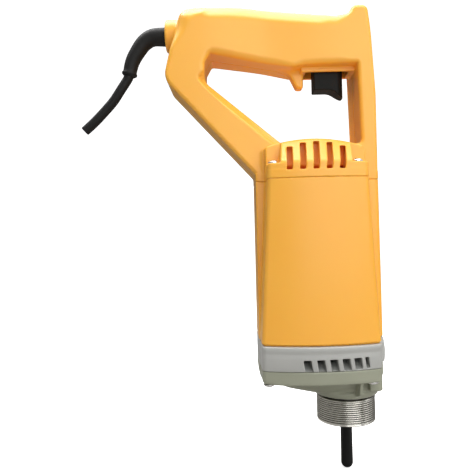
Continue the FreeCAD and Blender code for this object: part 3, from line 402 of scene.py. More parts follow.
WIRE_BROWN = finish_material("brown_wire", [(0.12, 0.035, 0.012), (0.16, 0.05, 0.02)], (0.3, 0.42), 500.0, 0.01)
# Steel whose thread roots carry painted shade.
THREAD_STEEL_PAINTED_SHADE = grooved_steel()
BEARING = finish_material("bearing_steel", [(0.62, 0.62, 0.63), (0.72, 0.72, 0.73)], (0.08, 0.16), 400.0, 0.004, 1.0, (1, 1, 10))


# ======================= the body's plan =======================


def panel_half(z):
    """Half-width of the body's front panel, which narrows upwards."""
    return 38.3 - 6.3 * np.clip((z - VENT_TOP) / (SEAM_Z - VENT_TOP), 0, 1)


CROWN_R = 127.0
CROWN_APEX = 46.4


def crown(u, depth):
    """Distance from the bowed front and back faces."""
    return np.hypot(u, depth + CROWN_R - CROWN_APEX) - CROWN_R


def body_plan(x, y, z, proud=0.0, bulge=0.0):
    """The body's upright walls: a wide panel block crossed by the narrower spine.

    The bowed faces stand out by proud, and the spine's right-hand end by bulge.
    """
    u = x - MOTOR_X
    depth = np.abs(y)
    lean = 0.03 * (41.0 - depth)
    offset = 1.35
    panel = meet(np.abs(u - offset) - (panel_half(z) + lean + offset), crown(u, depth) - proud, 2.6)
    nose_r = 120.0
    flare = 0.1 * (panel_half(z) - panel_half(SEAM_Z))
    front = np.hypot(u - 47.8 - flare - bulge + nose_r, y) - nose_r
    spine = meet(meet(depth - SPINE_HALF, front, 3.0), -u - 39.2, 0.8)
    return join(panel, spine, 0.8)


# ======================= handle =======================

FRAME_OUTLINE = [
    (-62.7, SEAM_Z - 12.0, 0.0),
    (-62.7, 177.0, 4.0),
    (-125.2, 245.5, 13.0),
    (-112.9, 296.0, 9.0),
    (-91.5, 296.0, 5.0),
    (-91.5, 264.0, 6.0),
    (-96.3, 256.0, 4.0),
    (-96.3, 243.9, 8.0),
    (-41.0, 197.4, 4.0),
    (11.7, 197.4, 3.0),
    (10.2, 256.0, 6.0),
    (4.0, 264.0, 6.0),
    (4.6, 287.6, 8.0),
    (8.4, 294.2, 5.0),
    (18.3, 294.2, 4.6),
    (20.4, 272.0, 80.0),
    (22.6, 232.0, 120.0),
    (22.6, SEAM_Z - 12.0, 0.0),
]

GRIP_OUTLINE = [
    (-109.0, 296.1, 7.0),
    (-68.0, 297.2, 150.0),
    (-4.0, 288.6, 25.0),
    (17.0, 288.6, 0.0),
    (17.0, 253.6, 0.0),
    (-27.0, 253.6, 3.0),
    (-34.0, 252.2, 8.0),
    (-94.0, 263.2, 0.0),
    (-109.0, 263.2, 0.0),
]

FIN_OUTLINE = [
    (-44.0, 257.0, 0.0),
    (-36.2, 250.8, 7.0),
    (-30.9, 240.1, 2.1),
    (-25.9, 240.1, 2.1),
    (-25.6, 257.0, 0.0),
]

guard_low, guard_high = box_mm("cord_guard")
mount_low, mount_high = box_mm("handle_mount_screws")
switch_low, switch_high = box_mm("switch_body")
CORD_Z = (box_mm("cord_clamp")[0].z + box_mm("cord_clamp")[1].z) / 2
SHELL_SCREWS = [(-110.0, 258.0), (-66.0, 202.5), (-56.0, 287.5), (16.8, 222.0), (14.0, 284.0)]


GRILLE_LEAN = 0.12


def cap_field(x, y, z):
    """Rounded cap over the motor's end: arched top, sloping front and back, corner pockets."""
    u = x - MOTOR_X
    depth = np.abs(y)
    arch_r = 103.5
    arch = np.hypot(u, z - 199.9 + arch_r) - arch_r
    slope = (crown(u, depth) + (z - LEDGE_Z - 0.6)) * 0.7071
    walls = body_plan(x, y, np.float32(SEAM_Z))
    walls = np.maximum(walls, np.abs(u - 1.35) - 35.5)
    block = meet(meet(walls, slope, 1.2), arch, 1.4)
    pocket = np.maximum(np.maximum(23.6 - np.abs(u - GRILLE_LEAN * (z - LEDGE_Z)), 29.0 - depth), LEDGE_Z - z)
    return carve(block, pocket, 0.7)


def handle_solid(x, y, z):
    """The closed outer form of the handle."""
    depth = np.abs(y)
    side_view = join(outline(x, z, rounded(FRAME_OUTLINE)), outline(x, z, rounded(GRIP_OUTLINE)), 1.0)
    waist = smooth_step(-x, -2.0, 58.0) * (1 - smooth_step(-x, 50.0, 98.0)) * smooth_step(z, 240.0, 258.0)
    half = SPINE_HALF - (SPINE_HALF - GRIP_HALF) * waist
    across = 0.739 * x + 0.674 * z
    on_strut = smooth_step(across, 84.0, 92.0) * smooth_step(-x, 34.0, 46.0) * (1 - smooth_step(z, 244.0, 256.0))
    block_top = smooth_step(z, 264.0, 282.0) * smooth_step(-x, 60.0, 90.0)
    horn = smooth_step(z, 280.0, 292.0) * smooth_step(x, -5.0, 5.0)
    frame_edge = 2.6 + 6.9 * block_top + 1.2 * horn
    grip_edge = 5.0 + 4.5 * smooth_step(z, 264.0, 282.0)
    in_grip = smooth_step(z, 248.0, 262.0) * smooth_step(-x, -8.0, 4.0) * (1 - smooth_step(-x, 86.0, 100.0))
    solid = meet(side_view, depth - half, frame_edge + (grip_edge - frame_edge) * in_grip)
    on_top = smooth_step(z, 272.0, 280.0) * (1 - 0.8 * smooth_step(x, -18.0, 6.0))
    upward = side_view + (z - 296.4 - side_view) * smooth_step(-x, 94.0, 106.0)
    solid = meet(solid, upward * 0.6 + (depth - half) * 0.8 - 2.0 + 6.9 * on_top, 1.5)
    solid = meet(solid, side_view * 0.8 + (depth - half) * 0.6 - 2.5 + 6.9 * on_strut, 1.2)
    fin = meet(outline(x, z, rounded(FIN_OUTLINE)), depth - 5.0, 2.0)
    solid = join(solid, fin, 3.5)
    lip = meet(meet(slab(x, -28.0, 11.0), depth - 11.0, 0.6), slab(z, LIP_Z, 256.0), 0.6)
    solid = join(solid, lip, 0.8)
    boss = meet(np.hypot(y, z - CORD_Z) - 11.5, slab(x, block_low.x, -104.0), 1.4)
    solid = join(solid, boss, 1.6)
    base = np.maximum(body_plan(x, y, np.float32(SEAM_Z)), z - SEAM_Z - 5.5)
    return join(join(solid, cap_field(x, y, z), 0.9), base, 0.6)


def grille_slots(x, y, z):
    """Five upright slots through the cap's front and back."""
    slots = None
    for k in range(-2, 3):
        u = np.abs(x - MOTOR_X - 8.7 * k - (GRILLE_LEAN + 0.02 * k) * (z - LEDGE_Z)) - 1.95
        top = 197.4 - 0.95 * k * k
        slot = meet(meet(u, slab(z, SEAM_Z + 5.2, top), 0.7), 26.0 - np.abs(y), 0.1)
        slots = slot if slots is None else np.minimum(slots, slot)
    return slots


def shell_screw_face(x, z):
    return GRIP_HALF if z > 270 and -90 < x < 5 else SPINE_HALF


def handle_half(side, voxel):
    """One moulded half; side is -1 towards the camera and 1 away from it."""
    edge = 2.0
    low = [block_low.x - edge, -48.5, SEAM_Z - edge]
    high = [block_high.x + edge, edge, GRIP_TOP + edge]
    if side > 0:
        low[1], high[1] = -edge, 48.5
    x, y, z = grid_axes(low, high, voxel)
    outer = handle_solid(x, y, z)
    field = np.maximum(outer, -(outer + WALL))
    for screw_x, screw_z in SHELL_SCREWS:
        boss = np.hypot(x - screw_x, z - screw_z) - 4.4
        field = np.minimum(field, np.maximum(boss, outer + 0.5))
        if side > 0:
            face = shell_screw_face(screw_x, screw_z)
            field = carve(field, np.maximum(boss + 1.3, face - 2.8 - y), 0.3)
    field = carve(field, grille_slots(x, y, z), 0.45)
    bore = np.maximum(np.hypot(y, z - CORD_Z) - 6.75, slab(x, block_low.x - 9, -112.0))
    field = carve(field, bore, 0.4)
    # A wall behind the grille slots; it carries the painted red glow.
    baffle = np.maximum(np.maximum(np.abs(x - MOTOR_X) - 22.0, slab(np.abs(y), 22.0, 24.0)), LEDGE_Z - 0.5 - z)
    field = np.minimum(field, np.maximum(baffle, outer + 0.5))
    opening = np.maximum(slab(x, -24.5, 6.5), np.maximum(np.abs(y) - 8.5, slab(z, 246.0, 260.0)))
    field = carve(field, opening, 0.4)
    if side > 0:
        button = np.maximum(np.hypot(x - LOCK_X, z - LOCK_Z) - 4.7, 5.0 - y)
        field = carve(field, button, 0.3)
    field = meet(field, SEAM_Z - z, 0.45)
    field = meet(field, -side * y, 0.3)
    name = "handle_half_near" if side < 0 else "handle_half_far"
    piece = skin(name, field, (x, y, z), voxel, ORANGE, ADAPT)
    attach(piece, "housing")
    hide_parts("handle_shell_right" if side < 0 else "handle_shell_left")
    return piece


lock_low, lock_high = box_mm("lock_button")
LOCK_X = (lock_low.x + lock_high.x) / 2
LOCK_Z = (lock_low.z + lock_high.z) / 2
ADAPT = 0.004
FINE = 0.5


def motor_barrel(voxel):
    edge = 2.0
    low = (housing_low.x - edge, housing_low.y - edge, VENT_TOP - edge)
    high = (housing_high.x + edge, housing_high.y + edge, SEAM_Z + edge)
    x, y, z = grid_axes(low, high, voxel)
    outer = body_plan(x, y, z)
    field = np.maximum(outer, -(outer + WALL))
    field = carve(field, np.maximum(-(outer + 1.2), z - VENT_TOP - 1.0), 0.2)
    field = meet(meet(field, VENT_TOP - z, 0.3), z - SEAM_Z, 0.5)
    piece = skin("motor_barrel", field, (x, y, z), voxel, ORANGE, ADAPT)
    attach(piece, "housing")
    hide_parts("motor_housing")


# ======================= grey castings =======================


LOUVRE_FOOT_Y = 45.0


def ring_slots(x, y, z):
    """Six leaning exhaust slots, open at the ring's lower edge, front and back."""
    slots = None
    for k in range(6):
        width = 5.0 if k < 5 else 2.4
        left = MOTOR_X - 10.6 + 8.9 * k - 0.155 * k * k
        lean = 0.17 * (z - CASE_TOP)
        across = slab(x + lean, left, left + width)
        slot = meet(across, z - CASE_TOP - 7.9 - 0.18 * k, 0.4)
        floor = (LOUVRE_FOOT_Y - np.abs(y)) * 0.36 - (z - CASE_TOP)
        slot = meet(slot, np.maximum(floor, 24.0 - np.abs(y)), 0.3)
        slots = slot if slots is None else np.minimum(slots, slot)
    return slots


def exhaust_ring(voxel):
    edge = 2.0
    low, high = box_mm("vent_ring")
    bottom = (low.x - edge, low.y - edge, CASE_TOP - edge)
    x, y, z = grid_axes(bottom, (high.x + edge, high.y + edge, VENT_TOP + edge), voxel)
    proud = 1.0 + 0.8 * smooth_step(z, 56.5, 60.0) - 1.9 * np.clip((54.5 - z) / 9.5, 0, 1) ** 1.4
    bulge = 0.5 + 0.9 * np.maximum(0, 1 - ((z - CASE_TOP - 7.0) / 8.5) ** 2)
    outer = body_plan(x, y, z, proud, bulge)
    chamber = np.maximum(np.hypot(x - MOTOR_X, y) - 36.3, CASE_TOP + 4.0 - z)
    field = carve(outer, chamber, 0.3)
    field = meet(field, slab(z, CASE_TOP + 0.05, VENT_TOP - 0.05), 0.7)
    field = carve(field, ring_slots(x, y, z), 0.35)
    piece = skin("exhaust_ring", field, (x, y, z), voxel, LIGHT_GREY, ADAPT)
    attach(piece, "housing")
    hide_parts("vent_ring")


RIB_OUTLINE = [
    (18.0, 38.0, 0.0),
    (40.0, 38.0, 0.0),
    (36.8, 26.5, 3.0),
    (24.6, 22.2, 0.0),
    (18.0, 22.2, 0.0),
]


def nose_casting(voxel):
    edge = 2.0
    bottom = (case_low.x - edge, case_low.y - edge, SHOULDER_Z - edge)
    x, y, z = grid_axes(bottom, (case_high.x + edge, case_high.y + edge, CASE_TOP + edge), voxel)
    depth = np.abs(y)
    corner = 1.1 + 1.6 * smooth_step(MOTOR_X - x, 27.0, 37.0)
    flange = meet(body_plan(x, y, z, -0.9, -0.3), CASE_BOTTOM - z, corner)
    radial = np.hypot(x, y)
    cone = ((radial - 22.6) * 4.0 - (z - SHOULDER_Z) * 2.4) / 4.66
    crest = ((radial - 24.8) * 4.0 + (z - 23.2) * 2.6) / 4.77
    nose = meet(meet(meet(radial - 25.0, cone, 0.8), crest, 1.0), slab(z, SHOULDER_Z, 40.0), 0.4)
    core = np.maximum(radial - 23.6, slab(z, 26.0, 40.0))
    nose = np.minimum(nose, core)
    boss = meet(meet(x - 20.2, depth - 26.5, 3.0), 26.0 - z, 1.2)
    boss = meet(boss, 11.8 - x, 1.0)
    web = meet(meet(x - 22.6, depth - 21.0, 3.0), 24.6 - z, 1.2)
    shoulder = np.maximum(np.minimum(boss, np.maximum(web, 5.2 - x)), z - 40.0)
    belly = (-(x + 50.0) * 8.0 - (z - 30.5) * 25.0) / 26.25
    heel = (-(x + 50.0) * 5.5 - (z - 30.5) * 6.5) / 8.51
    cheek = ((depth - 28.5) * 8.0 + (30.5 - z) * 11.5) / 14.0
    upright = ((depth - 28.5) * 5.5 + (30.5 - z) * 2.5) / 6.04
    hopper = meet(meet(belly, heel, 5.0), meet(meet(cheek, upright, 5.0), x - 6.0, 2.0), 5.0)
    hopper = np.maximum(hopper, slab(z, SHOULDER_Z + 2.0, 40.0))
    rib = meet(slab(x, 2.5, 4.5), outline(depth, z, rounded(RIB_OUTLINE)), 0.4)
    solid = join(join(join(nose, hopper, 2.0), shoulder, 1.2), flange, 1.0)
    solid = join(solid, rib, 1.2)
    solid = meet(solid, z - CASE_TOP + 0.05, 0.4)
    solid = carve(solid, np.maximum(radial - 20.1, z - 30.0), 0.3)
    hollow = np.maximum(radial - 21.6, 27.5 - z)
    solid = carve(solid, hollow, 0.3)
    piece = skin("nose_casting", solid, (x, y, z), voxel, OLIVE_GREY, ADAPT)
    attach(piece, "housing")
    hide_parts("gear_case")


# ======================= turned pieces =======================


def lathe(name, profile, material, segments=96, radius_at=None, closed=False):
    """A surface turned about +Z through (radius, z) points; radius_at can vary the radius round the turn."""
    points = []
    faces = []
    count = len(profile)
    for i in range(segments):
        turn = 2 * math.pi * i / segments
        for r, z in profile:
            radius = radius_at(r, z, turn) if radius_at else r
            points.append((radius * math.cos(turn), radius * math.sin(turn), z))
    for i in range(segments):
        j = (i + 1) % segments
        for k in range(count if closed else count - 1):
            m = (k + 1) % count
            faces.append((i * count + k, j * count + k, j * count + m, i * count + m))
    return new_object(name, [tuple(v / MM for v in p) for p in points], faces, material)


def arc_points(centre, radius, start, end, steps):
    """Profile points along an arc, angles in degrees from the +radius axis."""
    points = []
    for k in range(steps + 1):
        turn = math.radians(start + (end - start) * k / steps)
        points.append((centre[0] + radius * math.cos(turn), centre[1] + radius * math.sin(turn)))
    return points


def threaded_collar():
    """Steel collar with a right-hand helical thread."""
    pitch = 1.45
    thread_depth = 0.8
    top = SHOULDER_Z - 2.2
    neck_r = 19.2

    def radius_at(r, z, turn):
        if r < COLLAR_R - 0.2 or z > top + 0.4:
            return r
        phase = (z / pitch - turn / (2 * math.pi)) % 1.0
        ridge = abs(phase - 0.5) * 2
        depth = thread_depth * smooth_step(ridge, 0.12, 0.88)
        fade = smooth_step(z, 0.7, 2.2) * (1 - smooth_step(z, top - 1.2, top + 0.3))
        return r - depth * fade

    steps = int(top / 0.16)
    wall = [(COLLAR_R, 1.0 + (top - 1.0) * k / steps) for k in range(steps + 1)]
    profile = [(16.0, 0.3), (16.3, 0.0), (COLLAR_R - 1.2, 0.0)]
    profile += [(COLLAR_R - 1.2 + 1.2 * math.sin(t), 1.0 - math.cos(t)) for t in (0.5, 1.0)]
    profile += wall
    profile += [(neck_r, top + 0.3), (neck_r, SHOULDER_Z), (19.95, SHOULDER_Z + 0.1), (19.95, collar_high.z)]
    profile += [(17.6, collar_high.z), (17.6, 16.0), (12.0, 16.0), (12.0, 14.0), (14.0, 14.0), (14.0, 7.0), (16.0, 7.0)]
    piece = lathe("threaded_collar", profile, THREAD_STEEL_PAINTED_SHADE, 180, radius_at, closed=True)
    # Painted shade per vertex: it follows groove depth on the thread and is a fixed 0.3 on the smaller radii.
    groove_shade = piece.data.attributes.new("groove_shade", "FLOAT", "POINT")
    for place, value in zip(piece.data.vertices, groove_shade.data):
        radius = math.hypot(place.co.x, place.co.y) * MM
        value.value = float(np.clip((COLLAR_R - 0.15 - radius) / thread_depth, 0, 1)) if radius > 19.0 else 0.3
    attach(piece, "housing")
    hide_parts("hose_collar")


def drive_spindle():
    """Black stub with a rounded nose, stepping up into the collar."""
    stub_r = 4.25
    nose_z = spindle_low.z + stub_r
    profile = [(0.02, spindle_low.z)] + arc_points((0, nose_z), stub_r, -84, 0, 10)
    profile += [(stub_r, nose_z + 0.1), (stub_r, 6.7), (5.7, 7.0), (6.0, 7.3), (6.0, 15.9), (7.5, 16.1), (7.5, 27.0)]
    profile += [(9.0, 27.1), (9.0, 28.9), (6.0, 29.0), (6.0, 39.0), (5.0, 39.1), (5.0, 48.2), (4.7, 48.5), (0.02, 48.5)]
    piece = lathe("drive_stub", profile, BLACK_STEEL, 96)
    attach(piece, "spindle")
    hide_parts("output_spindle")


def screw_head(head_r, head_h, slot_w, voxel):
    """Field and axes of a pan head with a cross recess, its underside at z = 0."""
    x, y, z = grid_axes((-head_r - 1, -head_r - 1, -1.6), (head_r + 1, head_r + 1, head_h + 1), voxel)
    radial = np.hypot(x, y)
    dome_r = (head_r**2 + (head_h * 0.62) ** 2) / (2 * head_h * 0.62)
    dome = np.sqrt(radial**2 + (z - head_h + dome_r) ** 2) - dome_r
    head = meet(meet(radial - head_r, dome, 0.25), -z, 0.15)
    arm = head_r * 0.60
    depth = head_h * 0.5
    cross = np.minimum(
        np.maximum(np.abs(x) - slot_w / 2, np.abs(y) - arm), np.maximum(np.abs(y) - slot_w / 2, np.abs(x) - arm)
    )
    head = carve(head, np.maximum(cross, head_h - depth - z), 0.12)
    return head, (x, y, z)


def turned(axis):
    """Matrix that turns +Z to an axis."""
    return Vector((0, 0, 1)).rotation_difference(Vector(axis)).to_matrix().to_4x4()


def screws(name, node, places, axis, sizes):
    """One mesh holding a headed, threaded screw at each place."""
    shank_r, length, head_r, head_h, slot_w = sizes
    field, axes = screw_head(head_r, head_h, slot_w, 0.16)
    head = skin(name + "_head", field, axes, 0.16, ZINC, 0.01)
    profile = [(0.02, -length), (shank_r * 0.5, -length + 0.1)]
    turns = int((length - 2.0) / 1.4)
    for k in range(turns):
        z = -length + 1.0 + 1.4 * k
        profile += [(shank_r - 0.3, z), (shank_r - 0.3, z + 0.5), (shank_r, z + 0.95)]
    profile += [(shank_r - 0.1, -1.0), (shank_r - 0.1, 0.3), (0.02, 0.3)]
    shank = lathe(name + "_shank", profile, ZINC, 24)
    parts = []
    for place in places:
        for source in (head, shank):
            copy = source.copy()
            copy.data = source.data.copy()
            copy.data.transform(Matrix.Translation(Vector(place) / MM) @ turned(axis))
            bpy.context.scene.collection.objects.link(copy)
            parts.append(copy)
    for source in (head, shank):
        bpy.data.objects.remove(source)
    piece = merged(name, parts)
    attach(piece, "housing")
    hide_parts(node)


def merged(name, parts):
    """One object from several meshes."""
    bpy.ops.object.select_all(action="DESELECT")
    for part in parts:
        part.select_set(True)
    bpy.context.view_layer.objects.active = parts[0]
    bpy.ops.object.join()
    parts[0].name = name
    parts[0].data.name = name
    return parts[0]


def corner_places(node, z, inset):
    """The four corners of a node's box, drawn in by inset."""
    low, high = box_mm(node)
    return [(x, y, z) for x in (low.x + inset, high.x - inset) for y in (low.y + inset, high.y - inset)]


def all_screws():
    cap_r, case_r = 3.75, 3.7
    places = corner_places("handle_mount_screws", LEDGE_Z, cap_r)
    screws("cap_screws", "handle_mount_screws", places, (0, 0, 1), (2.0, 24.0, cap_r, 2.6, 1.1))
    places = corner_places("gear_case_screws", CASE_BOTTOM, case_r)
    screws("case_screws", "gear_case_screws", places, (0, 0, -1), (2.5, 44.0, case_r, 2.2, 1.1))
    places = [(x, shell_screw_face(x, z) - 3.0, z) for x, z in SHELL_SCREWS]
    screws("shell_screws", "handle_shell_screws", places, (0, 1, 0), (1.75, 25.5, 2.9, 2.2, 0.9))


# ======================= switch, cord =======================

TRIGGER_OUTLINE = [
    (-18.5, 258.9, 0.0),
    (-18.5, 238.2, 0.6),
    (-6.0, 238.2, 10.0),
    (2.8, 231.8, 0.5),
    (2.8, 258.9, 0.0),
]


def finger_trigger():
    voxel = 0.35
    x, y, z = grid_axes(trigger_low - Vector((2, 2, 2)), trigger_high + Vector((2, 2, 2)), voxel)
    sides = meet(np.abs(y) - 7.5, x - 2.8, 6.0)
    paddle = meet(outline(x, z, rounded(TRIGGER_OUTLINE)), sides, 0.5)
    retainer = meet(meet(slab(x, trigger_low.x, trigger_high.x), np.abs(y) - 10.0, 0.4), slab(z, 256.9, 258.9), 0.3)
    plunger = meet(np.maximum(np.abs(x + 10.0), np.abs(y)) - 2.5, slab(z, 257.0, trigger_high.z), 0.3)
    field = np.minimum(join(paddle, retainer, 0.5), plunger)
    piece = skin("finger_trigger", field, (x, y, z), voxel, BLACK_PLASTIC, ADAPT)
    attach(piece, "trigger")
    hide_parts("trigger")


def lock_on_button():
    """Round button with a dished, ringed face."""
    face = lock_high.y
    profile = [(0.02, 0.0), (2.5, 0.0), (2.5, 8.9), (6.0, 9.0), (6.0, 11.2), (4.5, 11.2), (4.5, face - lock_low.y - 0.7)]
    profile += arc_points((3.8, face - lock_low.y - 0.7), 0.7, 0, 90, 4)
    for k in range(3):
        ring = 3.0 - k
        profile += [(ring + 0.25, face - lock_low.y), (ring, face - lock_low.y - 0.3), (ring - 0.25, face - lock_low.y)]
    profile += [(0.02, face - lock_low.y)]
    piece = lathe("lock_on_button", profile, BLACK_PLASTIC, 64)
    piece.data.transform(Matrix.Translation(Vector((LOCK_X, lock_low.y, LOCK_Z)) / MM) @ turned((0, 1, 0)))
    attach(piece, "lock_button")
    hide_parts("lock_button")


GUARD_PATH = [
    (-125.2, CORD_Z),
    (-134.3, 281.0),
    (-140.5, 277.5),
    (-145.6, 271.0),
    (-149.8, 263.3),
    (-152.4, 253.2),
]
CABLE_PATH = [(-158.7, 243.3), (-164.4, 235.0), (-171.3, 227.4), (-178.3, 220.3), (-185.7, 213.8)]


def smooth_path(points, per_span):
    """Points along a Catmull-Rom curve through 2-D points."""
    points = np.array(points, float)
    padded = np.vstack([2 * points[0] - points[1], points, 2 * points[-1] - points[-2]])
    line = []
    for i in range(len(points) - 1):
        p0, p1, p2, p3 = padded[i : i + 4]
        for k in range(per_span):
            t = k / per_span
            line.append(
                0.5 * (2 * p1 + (p2 - p0) * t + (2 * p0 - 5 * p1 + 4 * p2 - p3) * t * t + (3 * p1 - p0 - 3 * p2 + p3) * t**3)
            )
    line.append(points[-1])
    return np.array(line)


def directions(line):
    """Unit vectors along a line of points."""
    along = np.gradient(line, axis=0)
    return along / np.linalg.norm(along, axis=1)[:, None]


def tube(name, line, outward, radii, material, segments, capped=True):
    """A round tube along a 3-D line, with a radius and a sideways direction at each of its points."""
    sideways = np.cross(outward, directions(line))
    points = []
    faces = []
    for place, out, side, radius in zip(line, outward, sideways, radii):
        for i in range(segments):
            turn = 2 * math.pi * i / segments
            points.append(tuple((place + radius * (out * math.cos(turn) + side * math.sin(turn))) / MM))
    for k in range(len(line) - 1):
        for i in range(segments):
            j = (i + 1) % segments
            faces.append((k * segments + i, (k + 1) * segments + i, (k + 1) * segments + j, k * segments + j))
    if capped:
        faces.append(tuple(range(segments)))
        last = (len(line) - 1) * segments
        faces.append(tuple(last + segments - 1 - i for i in range(segments)))
    return new_object(name, points, faces, material)


def swept(name, line, radii, material, segments=40, capped=True):
    """A round tube in the XZ plane along a line of (x, z) points."""
    line = np.asarray(line, float)
    flat = directions(line)
    outward = np.stack([-flat[:, 1], 0 * flat[:, 0], flat[:, 0]], axis=1)
    line = np.stack([line[:, 0], 0 * line[:, 0], line[:, 1]], axis=1)
    return tube(name, line, outward, radii, material, segments, capped)


def coil_spring(node, along, fixed_end, wire_r, pitch):
    """Compression spring with closed end coils, along axis number along."""
    low, high = box_mm(node)
    middle = (low + high) / 2
    first, second = [axis for axis in range(3) if axis != along]
    coil_r = (high[first] - low[first]) / 2 - wire_r
    length = high[along] - low[along] - 2 * wire_r
    closed = 2.05 * wire_r
    turns = 2 + (length - 2 * closed) / pitch
    turn = np.linspace(0, turns, int(turns * 28))
    outward = np.zeros((len(turn), 3))
    outward[:, first] = np.cos(2 * math.pi * turn)
    outward[:, second] = np.sin(2 * math.pi * turn)
    line = np.array(middle) + coil_r * outward
    line[:, along] = low[along] + wire_r + np.interp(
        turn, [0, 1, turns - 1, turns], [0, closed, length - closed, length]
    )
    piece = tube(node + "_coil", line, outward, np.full(len(turn), wire_r), STEEL, 10)
    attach(piece, "housing")
    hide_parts(node)
    anchor = np.array(middle)
    anchor[along] = fixed_end
    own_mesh(piece)


def springs():
    coil_spring("trigger_spring", 2, 273.0, 0.45, 2.8)
    coil_spring("brush_spring_right", 1, -35.2, 0.25, 1.6)
    coil_spring("brush_spring_left", 1, 35.2, 0.25, 1.6)


def cord_and_guard():
    path = smooth_path([(-112.0, CORD_Z), (-118.0, CORD_Z)] + GUARD_PATH, 10)
    run = np.concatenate([[0], np.cumsum(np.linalg.norm(np.diff(path, axis=0), axis=1))])
    start = run[20]
    share = np.clip((run - start) / (run[-1] - start), 0, 1)
    radii = 6.7 - 1.9 * share
    bead = np.exp(-(((run - run[-1] + 1.6) / 1.15) ** 4))
    radii = radii + 0.75 * bead
    radii[-1] -= 0.5
    guard = swept("cord_bend_guard", path, radii, RUBBER, 48)
    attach(guard, "housing")
    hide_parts("cord_guard")
    line = smooth_path([(-95.0, CORD_Z), (-113.0, CORD_Z)] + GUARD_PATH + CABLE_PATH, 12)
    radii = np.full(len(line), 3.5)
    radii[-1] = 3.3
    cable = swept("power_cable", line, radii, RUBBER, 32)
    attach(cable, "housing")
    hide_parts("power_cord")


# ======================= hidden pieces keep their CAD mesh =======================

NODE_LOOKS = {
    "drive_gear": STEEL,
    "gear_key": STEEL,
    "spindle_bush": BRONZE,
    "oil_seal": RUBBER,
    "bearing_circlip": STEEL,
    "switch_body": BLACK_PLASTIC,
    "suppressor_capacitor": FILM,
    "cord_clamp": BLACK_PLASTIC,
    "cord_clamp_screws": ZINC,
    "mains_wires": WIRE_BROWN,
    "motor_leads": RUBBER,
    "stator_core": LAMINATION,
    "field_coils": COPPER,
    "stator_screws": ZINC,
    "armature_shaft": STEEL,
    "armature_core": LAMINATION,
    "armature_winding": COPPER,
    "commutator_bars": COPPER,
    "commutator_hub": PHENOLIC,
    "cooling_fan": BLACK_PLASTIC,
    "air_guide": BLACK_PLASTIC,
    "rear_bearing_sleeve": RUBBER,
    "brush_holder_right": PHENOLIC,
    "brush_holder_left": PHENOLIC,
    "brush_right": CARBON,
    "brush_left": CARBON,
}
for bearing in ("rear_bearing", "front_bearing", "spindle_bearing"):
    for ring in ("_outer_ring", "_inner_ring", "_balls"):
        NODE_LOOKS[bearing + ring] = BEARING
    NODE_LOOKS[bearing + "_cage"] = NYLON


def dress_cad_nodes():
    for name, material in NODE_LOOKS.items():
        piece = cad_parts[name]
        piece.data.materials.clear()
        piece.data.materials.append(material)


# ======================= studio =======================


def area_light(name, place, target, size, brightness, colour=(1, 1, 1)):
    """A softbox; brightness is the radiance of its face."""
    data = bpy.data.lights.new(name, "AREA")
    data.shape = "RECTANGLE"
    data.size, data.size_y = size
    data.energy = brightness * math.pi * size[0] * size[1]
    data.color = colour
    lamp = bpy.data.objects.new(name, data)
    bpy.context.scene.collection.objects.link(lamp)
    lamp.location = place
    lamp.rotation_euler = (Vector(target) - Vector(place)).to_track_quat("-Z", "Y").to_euler()


def sweep_surface():
    """Pale paper: near white to the camera, and only a soft bounce of light onto the object."""
    material, tree, shader = nodes_of("pale_sweep")
    fibres = noise(tree, 60.0, 4.0)
    colour = ramp(tree, fibres, [(0.3, (0.93, 0.93, 0.93)), (0.7, (0.96, 0.96, 0.96))])
    tree.links.new(colour, shader.inputs["Base Color"])
    shader.inputs["Roughness"].default_value = 0.9
    shader.inputs["Specular IOR Level"].default_value = 0.0
    shader.inputs["Emission Color"].default_value = (1, 1, 1, 1)
    shader.inputs["Emission Strength"].default_value = 0.75
    bounce = tree.nodes.new("ShaderNodeBsdfDiffuse")
    bounce.inputs["Color"].default_value = (0.30, 0.29, 0.28, 1)
    path = tree.nodes.new("ShaderNodeLightPath")
    mix = tree.nodes.new("ShaderNodeMixShader")
    tree.links.new(path.outputs["Is Camera Ray"], mix.inputs["Fac"])
    tree.links.new(bounce.outputs["BSDF"], mix.inputs[1])
    tree.links.new(shader.outputs["BSDF"], mix.inputs[2])
    tree.links.new(mix.outputs["Shader"], tree.nodes["Material Output"].inputs["Surface"])
    return material


def studio_world():
    """Dim surroundings, brighter overhead than at the sides, but white to the camera."""
    world = bpy.data.worlds.new("studio")
    bpy.context.scene.world = world
    world.use_nodes = True
    tree = world.node_tree
    place = tree.nodes.new("ShaderNodeTexCoord")
    split = tree.nodes.new("ShaderNodeSeparateXYZ")
    tree.links.new(place.outputs["Generated"], split.inputs["Vector"])
    rise = tree.nodes.new("ShaderNodeMapRange")
    rise.inputs["From Min"].default_value = -1.0
    rise.inputs["From Max"].default_value = 1.0
    rise.inputs["To Min"].default_value = 0.12
    rise.inputs["To Max"].default_value = 0.42
    tree.links.new(split.outputs["Z"], rise.inputs["Value"])
    path = tree.nodes.new("ShaderNodeLightPath")
    seen = calculate(tree, "MAXIMUM", rise.outputs["Result"], path.outputs["Is Camera Ray"])
    tree.links.new(seen, tree.nodes["Background"].inputs["Strength"])
    tree.nodes["Background"].inputs["Color"].default_value = (1, 1, 1, 1)


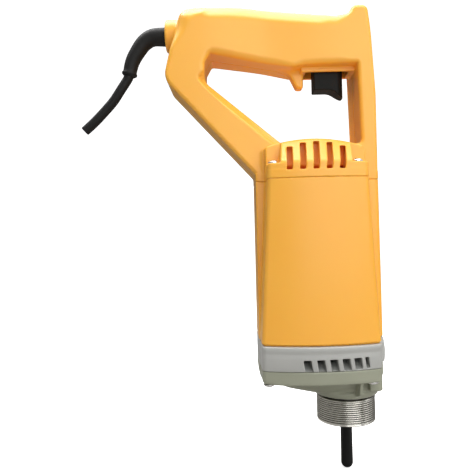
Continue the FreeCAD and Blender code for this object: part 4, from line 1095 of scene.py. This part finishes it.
def studio():
    """Pale floor that sweeps up behind the object, and soft lights from the upper right and above."""
    floor_z = spindle_low.z / MM - 0.0005
    half_width = 3.0
    front_y, bend_y, bend, wall_top = -2.5, 1.2, 0.5, 3.0
    profile = [(front_y, 0.0), (bend_y, 0.0)]
    for turn in np.linspace(0.1, math.pi / 2, 12):
        profile.append((bend_y + bend * math.sin(turn), bend * (1 - math.cos(turn))))
    profile.append((bend_y + bend, wall_top))
    points = []
    faces = []
    for y, z in profile:
        points += [(-half_width, y, floor_z + z), (half_width, y, floor_z + z)]
    for k in range(len(profile) - 1):
        faces.append((2 * k, 2 * k + 1, 2 * k + 3, 2 * k + 2))
    new_object("studio_sweep", points, faces, sweep_surface())
    studio_world()
    centre = (-0.05, 0, 0.13)
    area_light("key_light", (0.33, -0.95, 0.45), centre, (1.1, 0.9), 2.3)
    area_light("top_light", (-0.10, -0.10, 1.05), centre, (1.4, 0.5), 5.0)
    area_light("rim_light", (-0.10, 0.30, 1.00), centre, (1.4, 0.5), 4.0)
    area_light("fill_light", (-0.70, -0.80, 0.15), centre, (0.5, 0.5), 0.25)
    area_light("side_light", (0.90, -0.15, 0.55), centre, (0.4, 0.5), 1.5)


def camera():
    """Long-ish lens in front of the handle's middle, rolled a little as the object leans left."""
    data = bpy.data.cameras.new("camera")
    data.sensor_width = 36.0
    focal_px = 550.0
    image_px = 470.0
    data.lens = data.sensor_width * focal_px / image_px
    data.clip_start = 0.01
    lens = bpy.data.objects.new("camera", data)
    bpy.context.scene.collection.objects.link(lens)
    roll = 0.0244
    right = Vector((1, 0, -roll)).normalized()
    back = Vector((0, -1, 0))
    up = back.cross(right)
    turn = Matrix((right, up, back)).transposed().to_4x4()
    lens.matrix_world = Matrix.Translation(Vector((-77.85, -402.0, 135.5)) / MM) @ turn
    bpy.context.scene.camera = lens


def main():
    handle_half(-1, FINE)
    handle_half(1, FINE)
    motor_barrel(FINE)
    exhaust_ring(FINE * 0.8)
    nose_casting(FINE * 0.8)
    threaded_collar()
    drive_spindle()
    all_screws()
    finger_trigger()
    lock_on_button()
    cord_and_guard()
    springs()
    dress_cad_nodes()
    studio()
    camera()
    bpy.context.scene.view_settings.view_transform = "Standard"


main()
